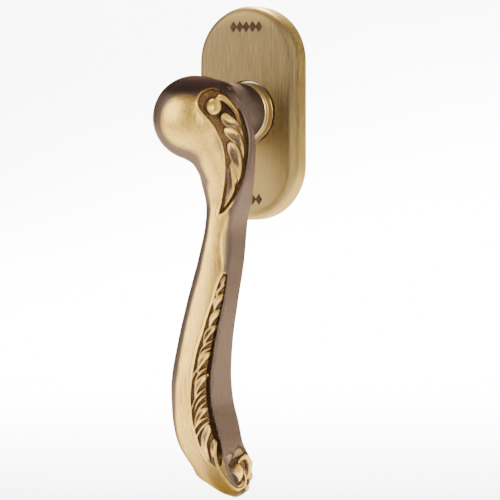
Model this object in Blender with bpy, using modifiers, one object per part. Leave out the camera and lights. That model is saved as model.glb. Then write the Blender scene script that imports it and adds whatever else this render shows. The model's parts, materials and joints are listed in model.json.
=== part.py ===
"""Lever window handle on an oval rose: clip-on cover, turning neck, detent and square spindle.

Run with: blender --background --python part.py
Units are metres. +Z is up, the room is on the -Y side and the sash face is the plane Y = 0.
The spindle's axis is the line X = 0, Z = 0. Sizes below are in millimetres until MM is applied.
A height is a distance in front of the sash face, so height = -Y.
"""
import math

import bmesh
import bpy
import numpy as np
from mathutils import Matrix, Vector

MM = 0.001

# How far a cutter runs past the face it opens, and the usual gap round a seated piece.
THROUGH = 1.0
SEAT_GAP = 0.1

# Rose cover: a stadium-shaped shell that snaps over the base.
ROSE_HALF_WIDTH = 17.5
ROSE_HALF_LENGTH = 34.0
ROSE_HEIGHT = 8.0
ROSE_FOOT = 0.1
ROSE_WALL = 1.3
ROSE_FRONT_ROUND = 2.8
ROSE_INNER_ROUND = 1.4
ROSE_HOLE_RADIUS = 10.15
COVER_LIFT_CLEARANCE = 0.4

# Press marks: a row of engraved, dark-filled lozenges at each end of the cover.
MARK_CENTRE = 27.4
MARK_COUNT = 5
MARK_PITCH = 2.3
MARK_HALF_HEIGHT = 1.75
MARK_LINK = 0.2
MARK_DEPTH = 0.35
MARK_GAP = 0.04

# Base casting under the cover.
BASE_HEIGHT = 5.6
BASE_EDGE_ROUND = 0.8
DISC_POCKET_RADIUS = 9.2
DISC_POCKET_FLOOR = 0.5
DISC_POCKET_TOP = 4.6
BASE_BORE_RADIUS = 7.6
BASE_BORE_FLOOR = 3.0
PLATE_RECESS_DEPTH = 1.0

# Back plate that closes the detent pocket.
PLATE_HALF_WIDTH = 12.0
PLATE_HALF_LENGTH = 15.9
PLATE_CORNER = 3.0
PLATE_THICKNESS = 0.8
PLATE_HOLE_RADIUS = 8.0
PLATE_SCREW_X = 9.4
PLATE_SCREW_Z = 13.0
PLATE_SCREW_LENGTH = 3.4
PLATE_SCREW_RADIUS = 1.0
PLATE_SCREW_HEAD_RADIUS = 1.85
PLATE_SINK = 0.05

# Fixing screws and locating sleeves at the standard 43 mm pitch.
SCREW_OFFSET = 21.5
SCREW_SHANK_RADIUS = 2.4
SCREW_HEAD_RADIUS = 4.5
SCREW_HEAD_DEPTH = 2.5
SCREW_REACH = 25.0
SCREW_POINT = 1.6
SCREW_SHANK_GAP = 0.25
SCREW_HEAD_GAP = 0.2
DRIVE_HALF_LENGTH = 2.3
DRIVE_HALF_WIDTH = 0.42
DRIVE_DEPTH = 1.5
SLEEVE_RADIUS = 5.0
SLEEVE_BORE_RADIUS = 2.75
SLEEVE_SEAT = 2.0
SLEEVE_REACH = 9.0
SLEEVE_CHAMFER = 0.6
SLEEVE_END_GAP = 0.15

# Snap clips at the two ends of the base.
CLIP_HALF_WIDTH = 3.0
CLIP_THICKNESS = 0.5
CLIP_POCKET_INNER = 28.0
CLIP_FLOOR = 1.4
CLIP_GAP = 0.3
CLIP_SPRING_BACK = 0.9
CLIP_BEND_LOW = 1.0
CLIP_BEND_OUT = 2.2

# Bush, washers and guide ring between the base and what turns or slides on it.
SHANK_BUSH_GAP = 0.1
BUSH_FLANGE_RADIUS = 9.0
BUSH_FLANGE_LOW = 0.05
BUSH_FLANGE_HIGH = 0.65
THRUST_WASHER_RADIUS = 10.3
GUIDE_RING_INNER = 10.6
GUIDE_RING_OUTER = 12.4

# Neck, collar, shank and what turns with them.
NECK_RADIUS = 9.3
NECK_FOOT = 12.6
NECK_TOP = 37.0
COLLAR_SEAT_RADIUS = 8.0
COLLAR_FOOT = 7.0
COLLAR_TOP = 12.4
COLLAR_FOOT_RADIUS = 9.7
COLLAR_TOP_RADIUS = 9.25
SHANK_RADIUS = 6.2
SHANK_END = 0.3
SHANK_SQUARE = 9.0
SHANK_SQUARE_TOP = 4.05
CIRCLIP_GROOVE_RADIUS = 5.0
CIRCLIP_LOW = 0.5
CIRCLIP_HIGH = 1.1
CIRCLIP_RADIUS = 7.2
CIRCLIP_GAP_HALF = 1.1
CIRCLIP_EYE_RADIUS = 0.5
CIRCLIP_EYE = (-5.7, 2.3)
DISC_RADIUS = 8.6
DISC_LOW = 1.3
DISC_HIGH = 4.0
DISC_GAP = 0.06
NOTCH_GAP = 0.15
SPINDLE_SIDE = 7.0
SPINDLE_FIT = 0.05
SPINDLE_REACH = 25.0
SPINDLE_DEPTH = 18.0
SPINDLE_CHAMFER = 0.35
PIN_RADIUS = 1.0
PIN_HEIGHT = 9.6
PIN_HALF_LENGTH = 7.8
PIN_GAP = 0.06
PIN_HOLE_HALF_LENGTH = 9.0

# Detent: two sprung balls that run on the index disc.
BALL_RADIUS = 1.25
BALL_HEIGHT = 2.65
BALL_REST = 9.95
BALL_TRAVEL = 0.5
CHANNEL_RADIUS = 1.4
CHANNEL_END = 15.5
SPRING_WIRE = 0.16
SPRING_TURNS = 5
SPRING_GAP = 0.1

# Lever: a ball head and a swan-necked grip, described by sections at levels along Z.
HEAD_RADIUS = 13.1
HEAD_CENTRE = (0.0, 41.7, -2.0)
GRIP_CROWN = 1.2
GRIP_TOP = 10.4
GRIP_BOTTOM = -121.0
GRIP_SLICES = 54
CORNER_STEPS = 5
FLAT_STEPS = 3
FRONT_RIGHT_CORNER = 1.1
FRONT_LEFT_CORNER = 3.0

# Each grip level: Z, left edge, right edge, front edge height, back height, back corner radius.
GRIP_LEVELS = (
    (10.4, -1.0, 1.6, 37.0, 34.0, 1.0),
    (9.4, -3.6, 5.6, 37.4, 31.6, 2.5),
    (6.2, -6.0, 9.3, 36.5, 30.6, 2.8),
    (2.9, -7.0, 11.8, 35.2, 30.2, 2.4),
    (-1.6, -7.5, 13.9, 34.6, 30.0, 2.2),
    (-5.9, -7.5, 15.3, 34.6, 29.9, 2.2),
    (-10.8, -5.8, 15.9, 35.2, 29.6, 2.6),
    (-16.5, -2.4, 15.8, 36.4, 29.2, 3.2),
    (-22.4, -0.8, 14.9, 37.4, 28.4, 3.4),
    (-28.9, 0.4, 12.5, 37.4, 26.6, 2.8),
    (-34.0, 0.3, 10.5, 37.6, 24.8, 2.2),
    (-46.5, -1.9, 9.8, 38.8, 26.0, 2.0),
    (-59.0, -4.7, 9.5, 40.4, 29.6, 1.8),
    (-72.0, -7.2, 7.9, 42.0, 30.2, 1.8),
    (-84.5, -9.0, 6.6, 42.8, 28.4, 2.0),
    (-91.0, -9.1, 6.4, 42.4, 26.4, 2.0),
    (-97.0, -9.1, 7.5, 41.4, 25.2, 2.2),
    (-103.5, -8.2, 8.5, 39.8, 24.0, 2.6),
    (-109.5, -6.0, 8.3, 37.0, 18.2, 3.0),
    (-114.6, -4.2, 7.6, 32.6, 16.2, 3.5),
    (-118.0, -2.2, 6.4, 27.8, 16.0, 3.5),
    (-120.0, -0.4, 5.0, 24.0, 16.6, 2.2),
    (-121.0, 1.0, 3.4, 20.6, 17.6, 1.0),
)

BRONZED_BRASS = (0.56, 0.44, 0.27)
POLISHED_BRASS = (0.78, 0.62, 0.36)
STEEL = (0.62, 0.62, 0.63)
DARK_STEEL = (0.28, 0.27, 0.27)
ZINC_GREY = (0.52, 0.53, 0.54)
NYLON_BLACK = (0.05, 0.05, 0.05)
NYLON_WHITE = (0.82, 0.81, 0.76)
ENAMEL_BROWN = (0.16, 0.10, 0.06)

SHEETWISE = Matrix.Rotation(math.radians(90.0), 4, "X")


def clear_scene():
    for item in list(bpy.data.objects):
        bpy.data.objects.remove(item, do_unlink=True)


def new_collection(name):
    group = bpy.data.collections.new(name)
    bpy.context.scene.collection.children.link(group)
    return group


def new_material(name, colour, roughness, metallic):
    material = bpy.data.materials.new(name)
    material.use_nodes = True
    shader = material.node_tree.nodes["Principled BSDF"]
    shader.inputs["Base Color"].default_value = (*colour, 1.0)
    shader.inputs["Roughness"].default_value = roughness
    shader.inputs["Metallic"].default_value = metallic
    return material


clear_scene()
PARTS = new_collection("window_handle")
CUTTERS = new_collection("cutters")
MATERIALS = {
    "bronzed_brass": new_material("bronzed_brass", BRONZED_BRASS, 0.34, 1.0),
    "polished_brass": new_material("polished_brass", POLISHED_BRASS, 0.22, 1.0),
    "steel": new_material("steel", STEEL, 0.3, 1.0),
    "dark_steel": new_material("dark_steel", DARK_STEEL, 0.4, 1.0),
    "zinc": new_material("zinc", ZINC_GREY, 0.5, 1.0),
    "nylon_black": new_material("nylon_black", NYLON_BLACK, 0.5, 0.0),
    "nylon_white": new_material("nylon_white", NYLON_WHITE, 0.5, 0.0),
    "enamel": new_material("enamel", ENAMEL_BROWN, 0.4, 0.0),
}


def keep(name, mesh, material, matrix=None):
    """A named sub-part from a finished mesh."""
    item = bpy.data.objects.new(name, mesh)
    mesh.name = name
    mesh.materials.clear()
    mesh.materials.append(MATERIALS[material])
    PARTS.objects.link(item)
    if matrix is not None:
        item.matrix_world = matrix
    return item


def as_cutter(item):
    """Turn a sub-part into a cutter for Boolean modifiers."""
    for group in list(item.users_collection):
        group.objects.unlink(item)
    CUTTERS.objects.link(item)
    item.hide_render = True
    item.display_type = "WIRE"
    return item


def cut(item, *cutters):
    """Take each cutter out of a sub-part."""
    for cutter in cutters:
        boolean = item.modifiers.new(cutter.name, "BOOLEAN")
        boolean.operation = "DIFFERENCE"
        boolean.solver = "EXACT"
        boolean.object = cutter
    return item


def join(item, other):
    """Add another solid to a sub-part."""
    boolean = item.modifiers.new(other.name, "BOOLEAN")
    boolean.operation = "UNION"
    boolean.solver = "EXACT"
    boolean.object = as_cutter(other)
    return item


def settled(item):
    """Apply an object's modifiers and turn its faces outwards."""
    graph = bpy.context.evaluated_depsgraph_get()
    mesh = bpy.data.meshes.new_from_object(item.evaluated_get(graph))
    shape = bmesh.new()
    shape.from_mesh(mesh)
    bmesh.ops.remove_doubles(shape, verts=shape.verts, dist=1e-7)
    bmesh.ops.recalc_face_normals(shape, faces=shape.faces)
    shape.to_mesh(mesh)
    shape.free()
    item.modifiers.clear()
    item.data = mesh
    return item


def turned(name, profile, material, steps=40, x=0.0, z=0.0):
    """A turned piece whose axis is normal to the sash. The profile is a list of (radius, height)."""
    shape = bmesh.new()
    points = [shape.verts.new((radius * MM, 0.0, height * MM)) for radius, height in profile]
    for start, end in zip(points, points[1:]):
        shape.edges.new((start, end))
    is_ring = min(radius for radius, height in profile) > 0.0
    if is_ring:
        shape.edges.new((points[-1], points[0]))
    mesh = bpy.data.meshes.new(name)
    shape.to_mesh(mesh)
    shape.free()
    item = keep(name, mesh, material, Matrix.Translation((x * MM, 0.0, z * MM)) @ SHEETWISE)
    screw = item.modifiers.new("turn", "SCREW")
    screw.axis = "Z"
    screw.angle = 2.0 * math.pi
    screw.steps = steps
    screw.render_steps = steps
    screw.use_merge_vertices = True
    screw.merge_threshold = 1e-6
    settled(item)
    item.data.materials.clear()
    item.data.materials.append(MATERIALS[material])
    return item


def rod(name, radius, low, high, material, steps=32, x=0.0, z=0.0):
    return turned(name, [(0.0, low), (radius, low), (radius, high), (0.0, high)], material, steps, x, z)


def ring(name, inner, outer, low, high, material, steps=48):
    profile = [(inner, low), (outer, low), (outer, high), (inner, high)]
    return turned(name, profile, material, steps)


def prism(name, outline, low, high, material, front_round=0.0, round_segments=6, x=0.0, z=0.0):
    """A flat outline in the sash plane, raised from one height to another, with a rounded front edge."""
    shape = bmesh.new()
    floor = [shape.verts.new((px * MM, pz * MM, low * MM)) for px, pz in outline]
    base = shape.faces.new(floor)
    raised = bmesh.ops.extrude_face_region(shape, geom=[base])["geom"]
    moved = [part for part in raised if isinstance(part, bmesh.types.BMVert)]
    bmesh.ops.translate(shape, verts=moved, vec=(0.0, 0.0, (high - low) * MM))
    if front_round > 0.0:
        rim = [part for part in raised if isinstance(part, bmesh.types.BMEdge)]
        bmesh.ops.bevel(shape, geom=rim, offset=front_round * MM, offset_type="OFFSET",
                        segments=round_segments, profile=0.5, affect="EDGES", clamp_overlap=False)
    bmesh.ops.recalc_face_normals(shape, faces=shape.faces)
    mesh = bpy.data.meshes.new(name)
    shape.to_mesh(mesh)
    shape.free()
    return keep(name, mesh, material, Matrix.Translation((x * MM, 0.0, z * MM)) @ SHEETWISE)


def stadium(half_width, half_length, arc_segments=24):
    """Points of a stadium with its long axis upright, anticlockwise."""
    straight = half_length - half_width
    points = []
    for centre, start in ((straight, 0.0), (-straight, math.pi)):
        for step in range(arc_segments + 1):
            angle = start + math.pi * step / arc_segments
            points.append((half_width * math.cos(angle), centre + half_width * math.sin(angle)))
    return points


def rounded_rectangle(half_width, half_length, corner, arc_segments=5):
    points = []
    corners = ((1, 1), (-1, 1), (-1, -1), (1, -1))
    for quarter, (side, end) in enumerate(corners):
        for step in range(arc_segments + 1):
            angle = math.radians(90.0) * (quarter + step / arc_segments)
            points.append((side * (half_width - corner) + corner * math.cos(angle),
                           end * (half_length - corner) + corner * math.sin(angle)))
    return points


def block(name, low_corner, high_corner, material):
    """A box between two corners given as (X, height, Z)."""
    mesh = bpy.data.meshes.new(name)
    shape = bmesh.new()
    bmesh.ops.create_cube(shape, size=1.0)
    size = [(high - low) * MM for low, high in zip(low_corner, high_corner)]
    middle = [(high + low) * 0.5 * MM for low, high in zip(low_corner, high_corner)]
    bmesh.ops.scale(shape, verts=shape.verts, vec=Vector(size))
    shape.to_mesh(mesh)
    shape.free()
    return keep(name, mesh, material, Matrix.Translation((middle[0], -middle[1], middle[2])))


def rod_along(name, direction, radius, start, end, height, material, steps=24):
    """A cylinder that lies along X or Z at one height, between two places on that axis."""
    shape = bmesh.new()
    bmesh.ops.create_cone(shape, cap_ends=True, segments=steps, radius1=radius * MM,
                          radius2=radius * MM, depth=(end - start) * MM)
    mesh = bpy.data.meshes.new(name)
    shape.to_mesh(mesh)
    shape.free()
    middle = (start + end) * 0.5 * MM
    if direction == "X":
        place = Matrix.Translation((middle, -height * MM, 0.0)) @ Matrix.Rotation(math.pi / 2, 4, "Y")
    else:
        place = Matrix.Translation((0.0, -height * MM, middle))
    return keep(name, mesh, material, place)


def side_name(sign):
    return "upper" if sign > 0 else "lower"


# ---------------------------------------------------------------- base


def base_body():
    gap = COVER_LIFT_CLEARANCE
    outline = stadium(ROSE_HALF_WIDTH - ROSE_WALL - gap, ROSE_HALF_LENGTH - ROSE_WALL - gap)
    body = prism("base_body", outline, 0.0, BASE_HEIGHT, "zinc", BASE_EDGE_ROUND, 3)
    plate_outline = rounded_rectangle(PLATE_HALF_WIDTH + SEAT_GAP, PLATE_HALF_LENGTH + SEAT_GAP, PLATE_CORNER)
    recess = prism("cut_plate_recess", plate_outline, -THROUGH, PLATE_RECESS_DEPTH, "zinc")
    pocket = rod("cut_disc_pocket", DISC_POCKET_RADIUS, DISC_POCKET_FLOOR, DISC_POCKET_TOP, "zinc", 64)
    bore = rod("cut_base_bore", BASE_BORE_RADIUS, BASE_BORE_FLOOR, BASE_HEIGHT + THROUGH, "zinc", 64)
    channels = rod_along("cut_channels", "Z", CHANNEL_RADIUS, -CHANNEL_END, CHANNEL_END, BALL_HEIGHT, "zinc")
    cutters = [recess, pocket, bore, channels]
    for sign in (1, -1):
        side = side_name(sign)
        centre = sign * SCREW_OFFSET
        sleeve_radius = SLEEVE_RADIUS + SEAT_GAP
        sleeve_floor = SLEEVE_SEAT + SLEEVE_END_GAP
        shank_radius = SCREW_SHANK_RADIUS + SCREW_SHANK_GAP
        head_radius = SCREW_HEAD_RADIUS + SCREW_HEAD_GAP
        cone_foot = BASE_HEIGHT - SCREW_HEAD_DEPTH - SLEEVE_END_GAP
        profile = [(0.0, -THROUGH), (sleeve_radius, -THROUGH), (sleeve_radius, sleeve_floor),
                   (shank_radius, sleeve_floor), (shank_radius, cone_foot), (head_radius, BASE_HEIGHT - 0.5),
                   (head_radius, BASE_HEIGHT + THROUGH), (0.0, BASE_HEIGHT + THROUGH)]
        cutters.append(turned("cut_screw_" + side, profile, "zinc", 40, 0.0, centre))
        inner = sign * CLIP_POCKET_INNER
        outer = sign * (ROSE_HALF_LENGTH + THROUGH)
        half_width = CLIP_HALF_WIDTH + CLIP_GAP
        cutters.append(block("cut_clip_" + side, (-half_width, CLIP_FLOOR, min(inner, outer)),
                             (half_width, BASE_HEIGHT + THROUGH, max(inner, outer)), "zinc"))
    for x in (PLATE_SCREW_X, -PLATE_SCREW_X):
        for z in (PLATE_SCREW_Z, -PLATE_SCREW_Z):
            hole_name = "cut_plate_screw_%d_%d" % (x > 0, z > 0)
            cutters.append(rod(hole_name, PLATE_SCREW_RADIUS + SEAT_GAP, 0.0, PLATE_SCREW_LENGTH + 0.3,
                               "zinc", 16, x, z))
    cut(body, *[as_cutter(cutter) for cutter in cutters])


def back_plate():
    high = PLATE_RECESS_DEPTH - PLATE_SINK
    low = high - PLATE_THICKNESS
    head_radius = PLATE_SCREW_HEAD_RADIUS
    plate = prism("back_plate", rounded_rectangle(PLATE_HALF_WIDTH, PLATE_HALF_LENGTH, PLATE_CORNER - 0.2),
                  low, high, "steel")
    cutters = [rod("cut_plate_hole", PLATE_HOLE_RADIUS, -THROUGH, high + THROUGH, "steel", 48)]
    for x in (PLATE_SCREW_X, -PLATE_SCREW_X):
        for z in (PLATE_SCREW_Z, -PLATE_SCREW_Z):
            tag = ("upper_" if z > 0 else "lower_") + ("right" if x > 0 else "left")
            seat = [(0.0, -THROUGH), (head_radius + 0.15, -THROUGH), (head_radius + 0.15, low + 0.1),
                    (PLATE_SCREW_RADIUS + 0.2, high - 0.1), (PLATE_SCREW_RADIUS + 0.2, high + THROUGH),
                    (0.0, high + THROUGH)]
            cutters.append(turned("cut_plate_seat_" + tag, seat, "steel", 20, x, z))
            screw = [(0.0, low), (head_radius, low), (head_radius, low + 0.12),
                     (PLATE_SCREW_RADIUS, high - 0.2), (PLATE_SCREW_RADIUS, PLATE_SCREW_LENGTH),
                     (0.0, PLATE_SCREW_LENGTH)]
            turned("plate_screw_" + tag, screw, "dark_steel", 16, x, z)
    cut(plate, *[as_cutter(cutter) for cutter in cutters])


def fixing_screw(sign):
    side = side_name(sign)
    top = BASE_HEIGHT - SEAT_GAP
    profile = [(0.0, -SCREW_REACH), (SCREW_SHANK_RADIUS * 0.55, -SCREW_REACH),
               (SCREW_SHANK_RADIUS, -SCREW_REACH + SCREW_POINT), (SCREW_SHANK_RADIUS, top - SCREW_HEAD_DEPTH),
               (SCREW_HEAD_RADIUS, top - 0.3), (SCREW_HEAD_RADIUS - 0.1, top), (0.0, top)]
    screw = turned("fixing_screw_" + side, profile, "steel", 32, 0.0, sign * SCREW_OFFSET)
    cutters = []
    centre = sign * SCREW_OFFSET
    drives = ((DRIVE_HALF_LENGTH, DRIVE_HALF_WIDTH), (DRIVE_HALF_WIDTH, DRIVE_HALF_LENGTH))
    for number, (half_x, half_z) in enumerate(drives):
        slot = block("cut_drive_%s_%d" % (side, number), (-half_x, top - DRIVE_DEPTH, centre - half_z),
                     (half_x, top + THROUGH, centre + half_z), "steel")
        cutters.append(as_cutter(slot))
    cut(screw, *cutters)


def locating_sleeve(sign):
    profile = [(SLEEVE_BORE_RADIUS, -SLEEVE_REACH), (SLEEVE_RADIUS - SLEEVE_CHAMFER, -SLEEVE_REACH),
               (SLEEVE_RADIUS, -SLEEVE_REACH + SLEEVE_CHAMFER), (SLEEVE_RADIUS, SLEEVE_SEAT),
               (SLEEVE_BORE_RADIUS, SLEEVE_SEAT)]
    turned("locating_sleeve_" + side_name(sign), profile, "zinc", 40, 0.0, sign * SCREW_OFFSET)


def snap_clip(sign):
    """A spring-steel strip bent to a hairpin; its outer leg presses on the cover's end wall."""
    inner = CLIP_POCKET_INNER + CLIP_GAP
    outer = ROSE_HALF_LENGTH - ROSE_WALL - CLIP_GAP
    top = BASE_HEIGHT - CLIP_GAP
    floor = CLIP_FLOOR + SEAT_GAP
    leg = outer - CLIP_SPRING_BACK
    thick = CLIP_THICKNESS
    bend = floor + CLIP_BEND_LOW
    crest = floor + CLIP_BEND_OUT
    outline = [(inner, top), (inner, floor), (leg + thick, floor), (leg + thick, bend), (outer, crest),
               (leg + thick, top), (leg, top), (outer - thick, crest), (leg, bend), (leg, floor + thick),
               (inner + thick, floor + thick), (inner + thick, top)]
    shape = bmesh.new()
    face = shape.faces.new([shape.verts.new((-CLIP_HALF_WIDTH * MM, -height * MM, sign * reach * MM))
                            for reach, height in outline])
    raised = bmesh.ops.extrude_face_region(shape, geom=[face])["geom"]
    moved = [part for part in raised if isinstance(part, bmesh.types.BMVert)]
    bmesh.ops.translate(shape, verts=moved, vec=(2.0 * CLIP_HALF_WIDTH * MM, 0.0, 0.0))
    bmesh.ops.recalc_face_normals(shape, faces=shape.faces)
    mesh = bpy.data.meshes.new("snap_clip")
    shape.to_mesh(mesh)
    shape.free()
    keep("snap_clip_" + side_name(sign), mesh, "dark_steel")


def neck_bush():
    inner = SHANK_RADIUS + SHANK_BUSH_GAP
    outer = BASE_BORE_RADIUS - SEAT_GAP
    foot = DISC_POCKET_TOP + SEAT_GAP
    flange_low = BASE_HEIGHT + BUSH_FLANGE_LOW
    flange_high = BASE_HEIGHT + BUSH_FLANGE_HIGH
    profile = [(inner, foot), (outer, foot), (outer, flange_low), (BUSH_FLANGE_RADIUS, flange_low),
               (BUSH_FLANGE_RADIUS, flange_high), (inner, flange_high)]
    turned("neck_bush", profile, "nylon_black", 48)


def thrust_washer():
    ring("thrust_washer", SHANK_RADIUS + 0.25, THRUST_WASHER_RADIUS, BASE_HEIGHT + 0.7, COLLAR_FOOT - 0.4,
         "steel")


# ---------------------------------------------------------------- cover


def rose_cover():
    outer = stadium(ROSE_HALF_WIDTH, ROSE_HALF_LENGTH, 32)
    inner = stadium(ROSE_HALF_WIDTH - ROSE_WALL, ROSE_HALF_LENGTH - ROSE_WALL, 32)
    cover = prism("rose_cover", outer, ROSE_FOOT, ROSE_HEIGHT, "bronzed_brass", ROSE_FRONT_ROUND, 7)
    cavity = prism("cut_cover_cavity", inner, -THROUGH, ROSE_HEIGHT - ROSE_WALL, "bronzed_brass",
                   ROSE_INNER_ROUND, 4)
    hole = rod("cut_cover_hole", ROSE_HOLE_RADIUS, BASE_BORE_FLOOR, ROSE_HEIGHT + THROUGH,
               "bronzed_brass", 80)
    cutters = [cavity, hole]
    for sign in (1, -1):
        cutters.append(lozenge_row("cut_mark_" + side_name(sign), sign, MARK_GAP,
                                   ROSE_HEIGHT - MARK_DEPTH, ROSE_HEIGHT + THROUGH))
    cut(cover, *[as_cutter(cutter) for cutter in cutters])


def lozenge_row(name, sign, grow, low, high):
    """A band of upright lozenges, linked at their side points, at one end of the cover."""
    first = -(MARK_COUNT - 1) / 2.0 * MARK_PITCH
    upper_edge = []
    for number in range(MARK_COUNT):
        x = first + number * MARK_PITCH
        upper_edge.append((x, MARK_HALF_HEIGHT + grow))
        if number < MARK_COUNT - 1:
            upper_edge.append((x + 0.5 * MARK_PITCH, MARK_LINK + grow))
    end = 0.5 * MARK_PITCH - first + grow
    lower_edge = [(x, -z) for x, z in reversed(upper_edge)]
    outline = [(-end, 0.0)] + upper_edge + [(end, 0.0)] + lower_edge
    return prism(name, outline, low, high, "enamel", z=sign * MARK_CENTRE)


def press_mark(sign):
    lozenge_row("press_mark_" + side_name(sign), sign, 0.0, ROSE_HEIGHT - MARK_DEPTH + MARK_GAP,
                ROSE_HEIGHT - 0.06)


def cover_guide_ring():
    ring("cover_guide_ring", GUIDE_RING_INNER, GUIDE_RING_OUTER, BASE_HEIGHT + 0.25,
         ROSE_HEIGHT - ROSE_WALL - 0.05, "nylon_white")


# ---------------------------------------------------------------- detent


def index_disc():
    disc = rod("index_disc", DISC_RADIUS, DISC_LOW, DISC_HIGH, "steel", 72)
    square = square_shank("cut_disc_square", DISC_LOW - THROUGH, DISC_HIGH + THROUGH,
                          SHANK_SQUARE * 0.5 + DISC_GAP, SHANK_RADIUS + DISC_GAP)
    cutters = [square]
    notch_centre = BALL_REST - BALL_TRAVEL
    for quarter in range(4):
        angle = math.radians(90.0) * quarter
        cutters.append(rod("cut_notch_%d" % quarter, BALL_RADIUS + NOTCH_GAP, DISC_LOW - THROUGH,
                           DISC_HIGH + THROUGH, "steel", 24,
                           notch_centre * math.cos(angle), notch_centre * math.sin(angle)))
    cut(disc, *[as_cutter(cutter) for cutter in cutters])


def square_shank(name, low, high, half_side, round_radius):
    """A square whose corners are turned down to a radius."""
    outline = []
    half_angle = math.acos(half_side / round_radius)
    for quarter in range(4):
        face_angle = math.radians(90.0) * quarter
        for step in range(5):
            sweep = math.radians(90.0) - 2.0 * half_angle
            angle = face_angle + half_angle + sweep * step / 4.0
            outline.append((round_radius * math.cos(angle), round_radius * math.sin(angle)))
    return prism(name, outline, low, high, "steel")


def friction_washer():
    ring("friction_washer", SHANK_RADIUS + 0.3, DISC_RADIUS, DISC_HIGH + DISC_GAP, DISC_POCKET_TOP - 0.08,
         "nylon_white")


def circlip():
    """A split retaining ring in the shank's groove, with two plier holes."""
    clip = ring("circlip", CIRCLIP_GROOVE_RADIUS + SEAT_GAP, CIRCLIP_RADIUS, CIRCLIP_LOW + 0.05,
                CIRCLIP_HIGH - 0.05, "dark_steel", 48)
    opening = block("cut_circlip_gap", (-CIRCLIP_RADIUS - THROUGH, -THROUGH, -CIRCLIP_GAP_HALF),
                    (-CIRCLIP_GROOVE_RADIUS + THROUGH, CIRCLIP_HIGH + THROUGH, CIRCLIP_GAP_HALF), "dark_steel")
    cutters = [opening]
    for sign in (1, -1):
        cutters.append(rod("cut_circlip_eye_%d" % (sign > 0), CIRCLIP_EYE_RADIUS, -THROUGH,
                           CIRCLIP_HIGH + THROUGH, "dark_steel", 12, CIRCLIP_EYE[0], sign * CIRCLIP_EYE[1]))
    cut(clip, *[as_cutter(cutter) for cutter in cutters])


def detent_ball(sign):
    shape = bmesh.new()
    bmesh.ops.create_uvsphere(shape, u_segments=20, v_segments=12, radius=BALL_RADIUS * MM)
    mesh = bpy.data.meshes.new("detent_ball")
    shape.to_mesh(mesh)
    shape.free()
    place = Matrix.Translation((0.0, -BALL_HEIGHT * MM, sign * BALL_REST * MM))
    keep("detent_ball_" + side_name(sign), mesh, "steel", place)


def detent_spring(sign):
    """A short coil between the ball and the end of its channel."""
    start = BALL_REST + BALL_RADIUS + SPRING_WIRE + SPRING_GAP
    end = CHANNEL_END - SPRING_WIRE - SPRING_GAP
    coil_radius = BALL_RADIUS - SPRING_WIRE - SPRING_GAP
    points_per_turn = 10
    count = SPRING_TURNS * points_per_turn + 1
    data = bpy.data.curves.new("detent_spring", "CURVE")
    data.dimensions = "3D"
    data.bevel_depth = SPRING_WIRE * MM
    data.bevel_resolution = 2
    data.use_fill_caps = True
    data.render_resolution_u = 0
    spline = data.splines.new("POLY")
    spline.points.add(count - 1)
    for number in range(count):
        share = number / (count - 1)
        angle = 2.0 * math.pi * SPRING_TURNS * share
        along = sign * (start + (end - start) * share)
        spline.points[number].co = (coil_radius * math.cos(angle) * MM,
                                    (coil_radius * math.sin(angle) - BALL_HEIGHT) * MM, along * MM, 1.0)
    source = bpy.data.objects.new("detent_spring_wire", data)
    PARTS.objects.link(source)
    bpy.context.view_layer.update()
    graph = bpy.context.evaluated_depsgraph_get()
    mesh = bpy.data.meshes.new_from_object(source.evaluated_get(graph))
    bpy.data.objects.remove(source, do_unlink=True)
    item = keep("detent_spring_" + side_name(sign), mesh, "dark_steel")
    settled(item)
    item.data.materials.clear()
    item.data.materials.append(MATERIALS["dark_steel"])


# ---------------------------------------------------------------- lever


def grip_level(z):
    """The grip's section at one level, read from smooth curves through GRIP_LEVELS."""
    table = np.array(GRIP_LEVELS)[::-1]
    knots = table[:, 0]
    values = table[:, 1:]
    slopes = np.gradient(values, knots, axis=0)
    index = int(np.clip(np.searchsorted(knots, z) - 1, 0, len(knots) - 2))
    step = knots[index + 1] - knots[index]
    share = (z - knots[index]) / step
    square, cube = share ** 2, share ** 3
    return ((2 * cube - 3 * square + 1) * values[index]
            + (cube - 2 * square + share) * slopes[index] * step
            + (3 * square - 2 * cube) * values[index + 1]
            + (cube - square) * slopes[index + 1] * step)


def grip_outline(z):
    """Points (X, height) round the grip's section: flat sides, four round corners, a crowned front."""
    left, right, front, back, back_corner = grip_level(z)
    half_width = 0.5 * (right - left)
    half_depth = 0.5 * (front - back)
    middle = 0.5 * (left + right)
    limit = 0.9 * min(half_width, half_depth)
    corners = ((1, 1, FRONT_RIGHT_CORNER), (-1, 1, FRONT_LEFT_CORNER),
               (-1, -1, back_corner), (1, -1, back_corner))
    points = []
    for quarter, (side, face, radius) in enumerate(corners):
        radius = min(radius, limit)
        for step in range(CORNER_STEPS + 1):
            angle = math.radians(90.0) * (quarter + step / CORNER_STEPS)
            points.append(Vector((side * (half_width - radius) + radius * math.cos(angle),
                                  face * (half_depth - radius) + radius * math.sin(angle))))
    outline = []
    for number, point in enumerate(points):
        outline.append(point)
        following = points[(number + 1) % len(points)]
        if number % (CORNER_STEPS + 1) == CORNER_STEPS:
            for step in range(1, FLAT_STEPS + 1):
                outline.append(point.lerp(following, step / (FLAT_STEPS + 1)))
    crown = GRIP_CROWN * min(half_width / 6.0, 1.0)
    placed = []
    for across, rise in outline:
        share = (rise + half_depth) / (2.0 * half_depth)
        lift = crown * share * (1.0 - (across / half_width) ** 2)
        placed.append((middle + across, back + half_depth + rise + lift))
    return placed


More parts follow.
